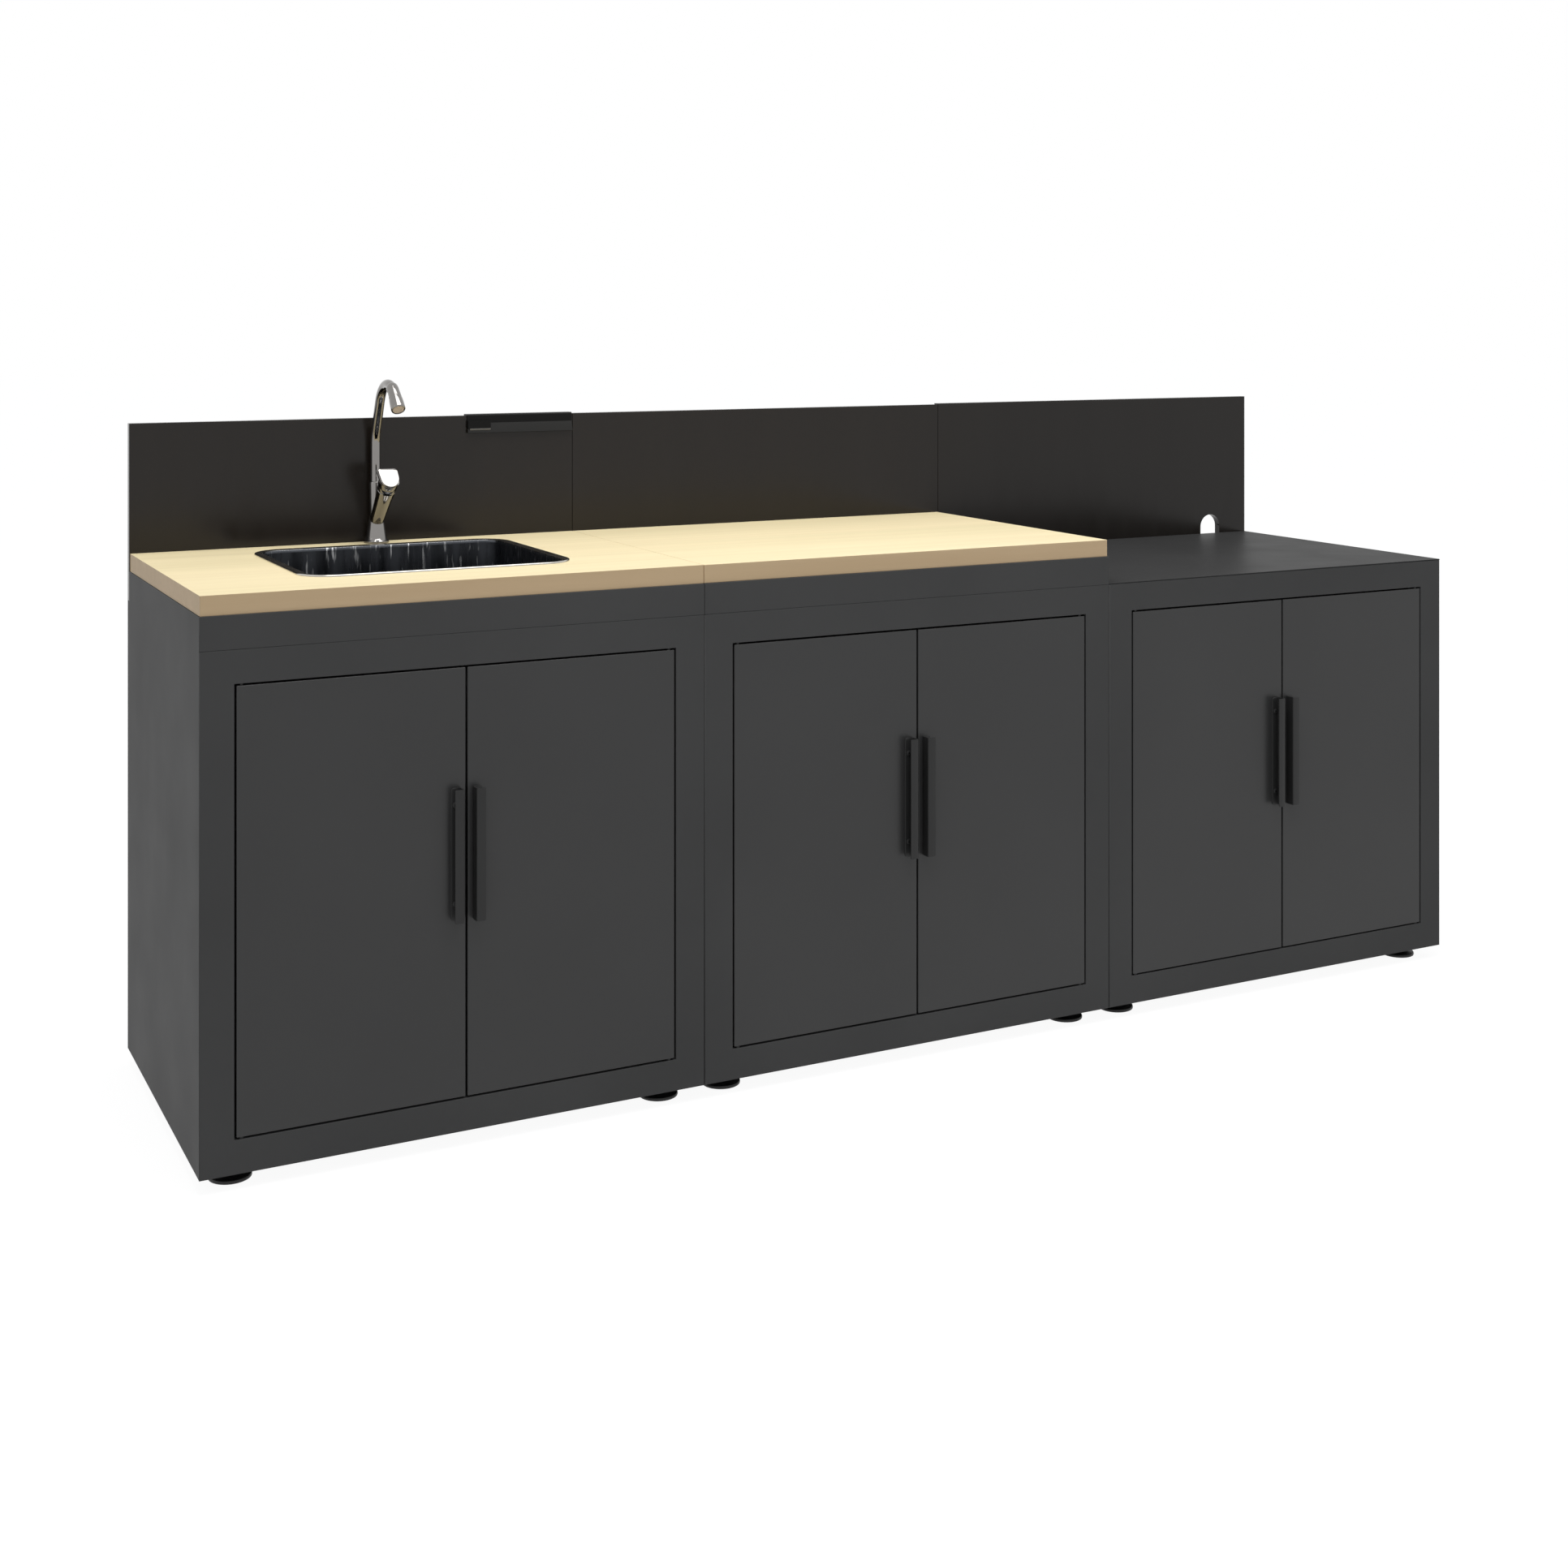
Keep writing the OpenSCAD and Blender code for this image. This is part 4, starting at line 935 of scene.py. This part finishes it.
sleeve = [(sleeve_bore, 0.030), (0.0098, 0.030), (0.0100, 0.062), (0.0110, sleeve_top - 0.0050),
          (0.0109, sleeve_top - 0.0020), (0.0102, sleeve_top - 0.0005), (0.0093, sleeve_top),
          (sleeve_bore, sleeve_top - 0.0006)]
turned(shape, sleeve, at(tube_foot), 48, joined=True)

# %% [markdown]
# Below the worktop there are the threaded shank, whose thread is again a row of grooves, two inlets
# for the water, and the nut that clamps the tap to the board. They belong to the same casting.

# %% Shank, inlets and nut
shank_top = -0.0005
shank_pitch = 0.0015
shank = [(0, -0.052), (0.0140, -0.052)]
turn_z = -0.051
while turn_z < shank_top - shank_pitch:
    shank.append((0.0150, turn_z))
    shank.append((0.0142, turn_z + shank_pitch / 2))
    turn_z += shank_pitch
shank.append((0, shank_top))
turned(shape, shank, at(tap_foot), 40)
inlet_apart = 0.009
inlet = [(0, -0.084), (0.0044, -0.084), (0.0050, -0.0834), (0.0050, -0.051), (0, -0.051)]
for inlet_side in (-1, 1):
    inlet_place = at(tap_foot + Vector((inlet_side * inlet_apart, 0, 0)))
    turned(shape, inlet, inlet_place, 24)
nut_radius = 0.022
nut_height = 0.008
nut_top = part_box("sink_worktop")[0].z
nut_axis = Vector((tap_foot.x, tap_foot.y, 0))
nut_rings = [circle(nut_radius, z, 6) for z in (nut_top - nut_height, nut_top)]
skin_rings(shape, [[nut_axis + point for point in ring] for ring in nut_rings])
casting = finished_piece("tap_casting", closed_up(shape), chrome, ["tap_body"])
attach(casting, body_with["tap_body"])

# %% [markdown]
# The spout is a tube with two bends: rings are carried up, leaned forward, and taken round the swan
# neck into the outlet head. The direction turns with each bend, so every ring is square to the
# tube. The head is a row of radii along the last stretch: a knuckle, two grooves and a rounded rim.

# %% Spout
tube_r = 0.0085
spout_rise = 0.175
spout_lean = radians(25)
neck_end = radians(137)
outlet_length = 0.034
stretches = [
    # a straight one's length or a bend's radius, and the tube's lean at the start and end of a bend
    (spout_rise, 0, 0), (0.060, 0, spout_lean), (0.056, 0, 0), (0.055, spout_lean, neck_end),
    (outlet_length, 0, 0)]


def along_spout(length):
    """Point and direction at a length along the spout, from the wood's level upward."""
    point, heading = Vector((0, 0)), 0.0
    for size, start, end in stretches:
        bent = end > start
        whole = size * (end - start) if bent else size
        part = min(length, whole)
        if bent:
            turned_to = start + part / size
            point = point + size * Vector((cos(start) - cos(turned_to), sin(turned_to) - sin(start)))
            heading = turned_to
        else:
            point = point + part * Vector((sin(heading), cos(heading)))
        length -= part
        if length <= 1e-9:
            break
    return tube_foot + Vector((0, -point.x, point.y)), Vector((0, -sin(heading), cos(heading)))


def tube_ring(length, radius, count=40):
    """Ring square to the spout."""
    point, direction = along_spout(length)
    across = Vector((1, 0, 0))
    upward = direction.cross(across)
    return [point + p.x * across + p.y * upward for p in circle(radius, 0, count)]


spout_end = sum(size * (end - start) if end > start else size for size, start, end in stretches)
head_start = spout_end - outlet_length - 0.023
bends_start = 0.170
steps = 44
stations = [(0.030, tube_r), (0.110, tube_r), (bends_start, tube_r)]
bent_length = head_start - bends_start
stations += [(bends_start + bent_length * k / steps, tube_r) for k in range(1, steps)]
head = [(0, 0.0086), (0.0006, 0.0095), (0.002, 0.0101), (0.005, 0.01045), (0.010, 0.01045),
        (0.0130, 0.0102), (0.0136, 0.0097), (0.0144, 0.0097), (0.0150, 0.0103), (0.018, 0.0105),
        (0.023, 0.0106), (0.0285, 0.0109), (0.0291, 0.0105), (0.0299, 0.0105), (0.0305, 0.0111),
        (0.0345, 0.0117), (0.040, 0.0121), (0.0530, 0.0124), (0.0552, 0.0123), (0.0564, 0.0117),
        (0.057, 0.0108), (0.0568, 0.0100), (0.0555, 0.0098), (0.0553, 0.0001)]
stations += [(head_start + ahead, radius) for ahead, radius in head]
shape = bmesh.new()
skin_rings(shape, [tube_ring(length, radius) for length, radius in stations])
print("the spout is", round(spout_end, 3), "m long")
closed_up(shape)
outlet, outlet_way = along_spout(spout_end)
screen_reach = 0.006
# The outlet's end faces take the screen finish, pale with painted light.
for face in shape.faces:
    near = (face.calc_center_median() - outlet).length < screen_reach
    if near and abs(face.normal.dot(outlet_way)) > 0.9:
        face.material_index = 1
spout = finished_piece("tap_spout_tube", shape, chrome, ["tap_spout"])
spout.data.materials.append(screen_colour_and_painted_light)
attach(spout, body_with["tap_spout"])

# %% [markdown]
# On the mixer's head a ring and a ball turn for the temperature, and a capped lever tips for the
# flow. Ring, ball and cap are turned about the mixer's axis. The lever itself is a shield-shaped
# plate that lies across the mixer: its outline has a straight upper edge, and half an ellipse
# towards the sink. The same outline is drawn smaller and a little higher for each ring, which gives
# the plate its soft edge and crown.

# %% Collar
ball_r = 0.0163
collar = [(0, -0.004), (0.0155, -0.004), (0.0163, -0.0034), (0.0163, -0.0006)]
collar += [(ball_r * cos(radians(a)), ball_r * sin(radians(a))) for a in range(6, 90, 6)]
collar += [(0, ball_r)]
shape = bmesh.new()
turned(shape, collar, on_mixer, 56)
collar_piece = finished_piece("tap_collar_ball", closed_up(shape), chrome, ["tap_collar"])
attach(collar_piece, body_with["tap_collar"])

# %% Lever
cap_r = 0.0186
cap_edge = 0.006
cap_side = (cap_r ** 2 - cap_edge ** 2) ** 0.5
hollow_r = 0.0166
rim_angle = atan2(cap_edge, (hollow_r ** 2 - cap_edge ** 2) ** 0.5)
plate_low, plate_top = 0.0165, 0.0225
plate_half, plate_back, plate_length = 0.018, 0.024, 0.043
plate_tip, plate_corner = 0.024, 0.007
crown = 0.0006


def plate_ring(inset, height):
    """The plate's outline, drawn smaller by an inset, at a height over the ball's middle."""
    half, corner = plate_half - inset, max(plate_corner - inset, 0.001)
    centre = plate_back - plate_length + plate_tip
    top_y = plate_back - inset
    points = []
    for angle in range(180, 361, 12):
        a = radians(angle)
        points.append((half * cos(a), centre + (plate_tip - inset) * sin(a)))
    arc = []
    for angle in range(0, 91, 15):
        a = radians(angle)
        arc.append((half - corner + corner * cos(a), top_y - corner + corner * sin(a)))
    points += arc + [(-x, y) for x, y in reversed(arc)]
    return [on_mixer @ Vector((x, y, height)) for x, y in points]


shape = bmesh.new()
cap_top = plate_low + 0.0008
cap = [(cap_side - 0.0002, cap_edge), (cap_side, cap_edge + 0.0004), (cap_side, cap_top),
       (0, cap_top)]
hollow = []
for k in range(13):
    a = radians(90) - (radians(90) - rim_angle) * k / 12
    hollow.append((hollow_r * cos(a), hollow_r * sin(a)))
turned(shape, cap + hollow, on_mixer, 56, joined=True)
plate_side = plate_top - crown
plate_rings = [
    (0.0010, plate_low), (0.0003, plate_low + 0.0003), (0, plate_low + 0.0010),
    (0, plate_side - 0.0014), (0.0003, plate_side - 0.0006), (0.0010, plate_side),
    (0.004, plate_top - crown * 0.55), (0.009, plate_top - crown * 0.2), (0.014, plate_top)]
skin_rings(shape, [plate_ring(inset, height) for inset, height in plate_rings])
lever_piece = finished_piece("tap_lever_cap", closed_up(shape), chrome, ["tap_lever"])
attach(lever_piece, body_with["tap_lever"])

# %% [markdown]
# ## Small parts that stay as measured
# The hinge pins, the magnetic catches and the joining bolts are mostly hidden. Their solids have
# the right shape, so they only get their finish.

# %% Finish on the remaining solids
refinish("hinge_pins", handle_black)
refinish("joining_bolts", zinc)
refinish("door_catches", handle_black)
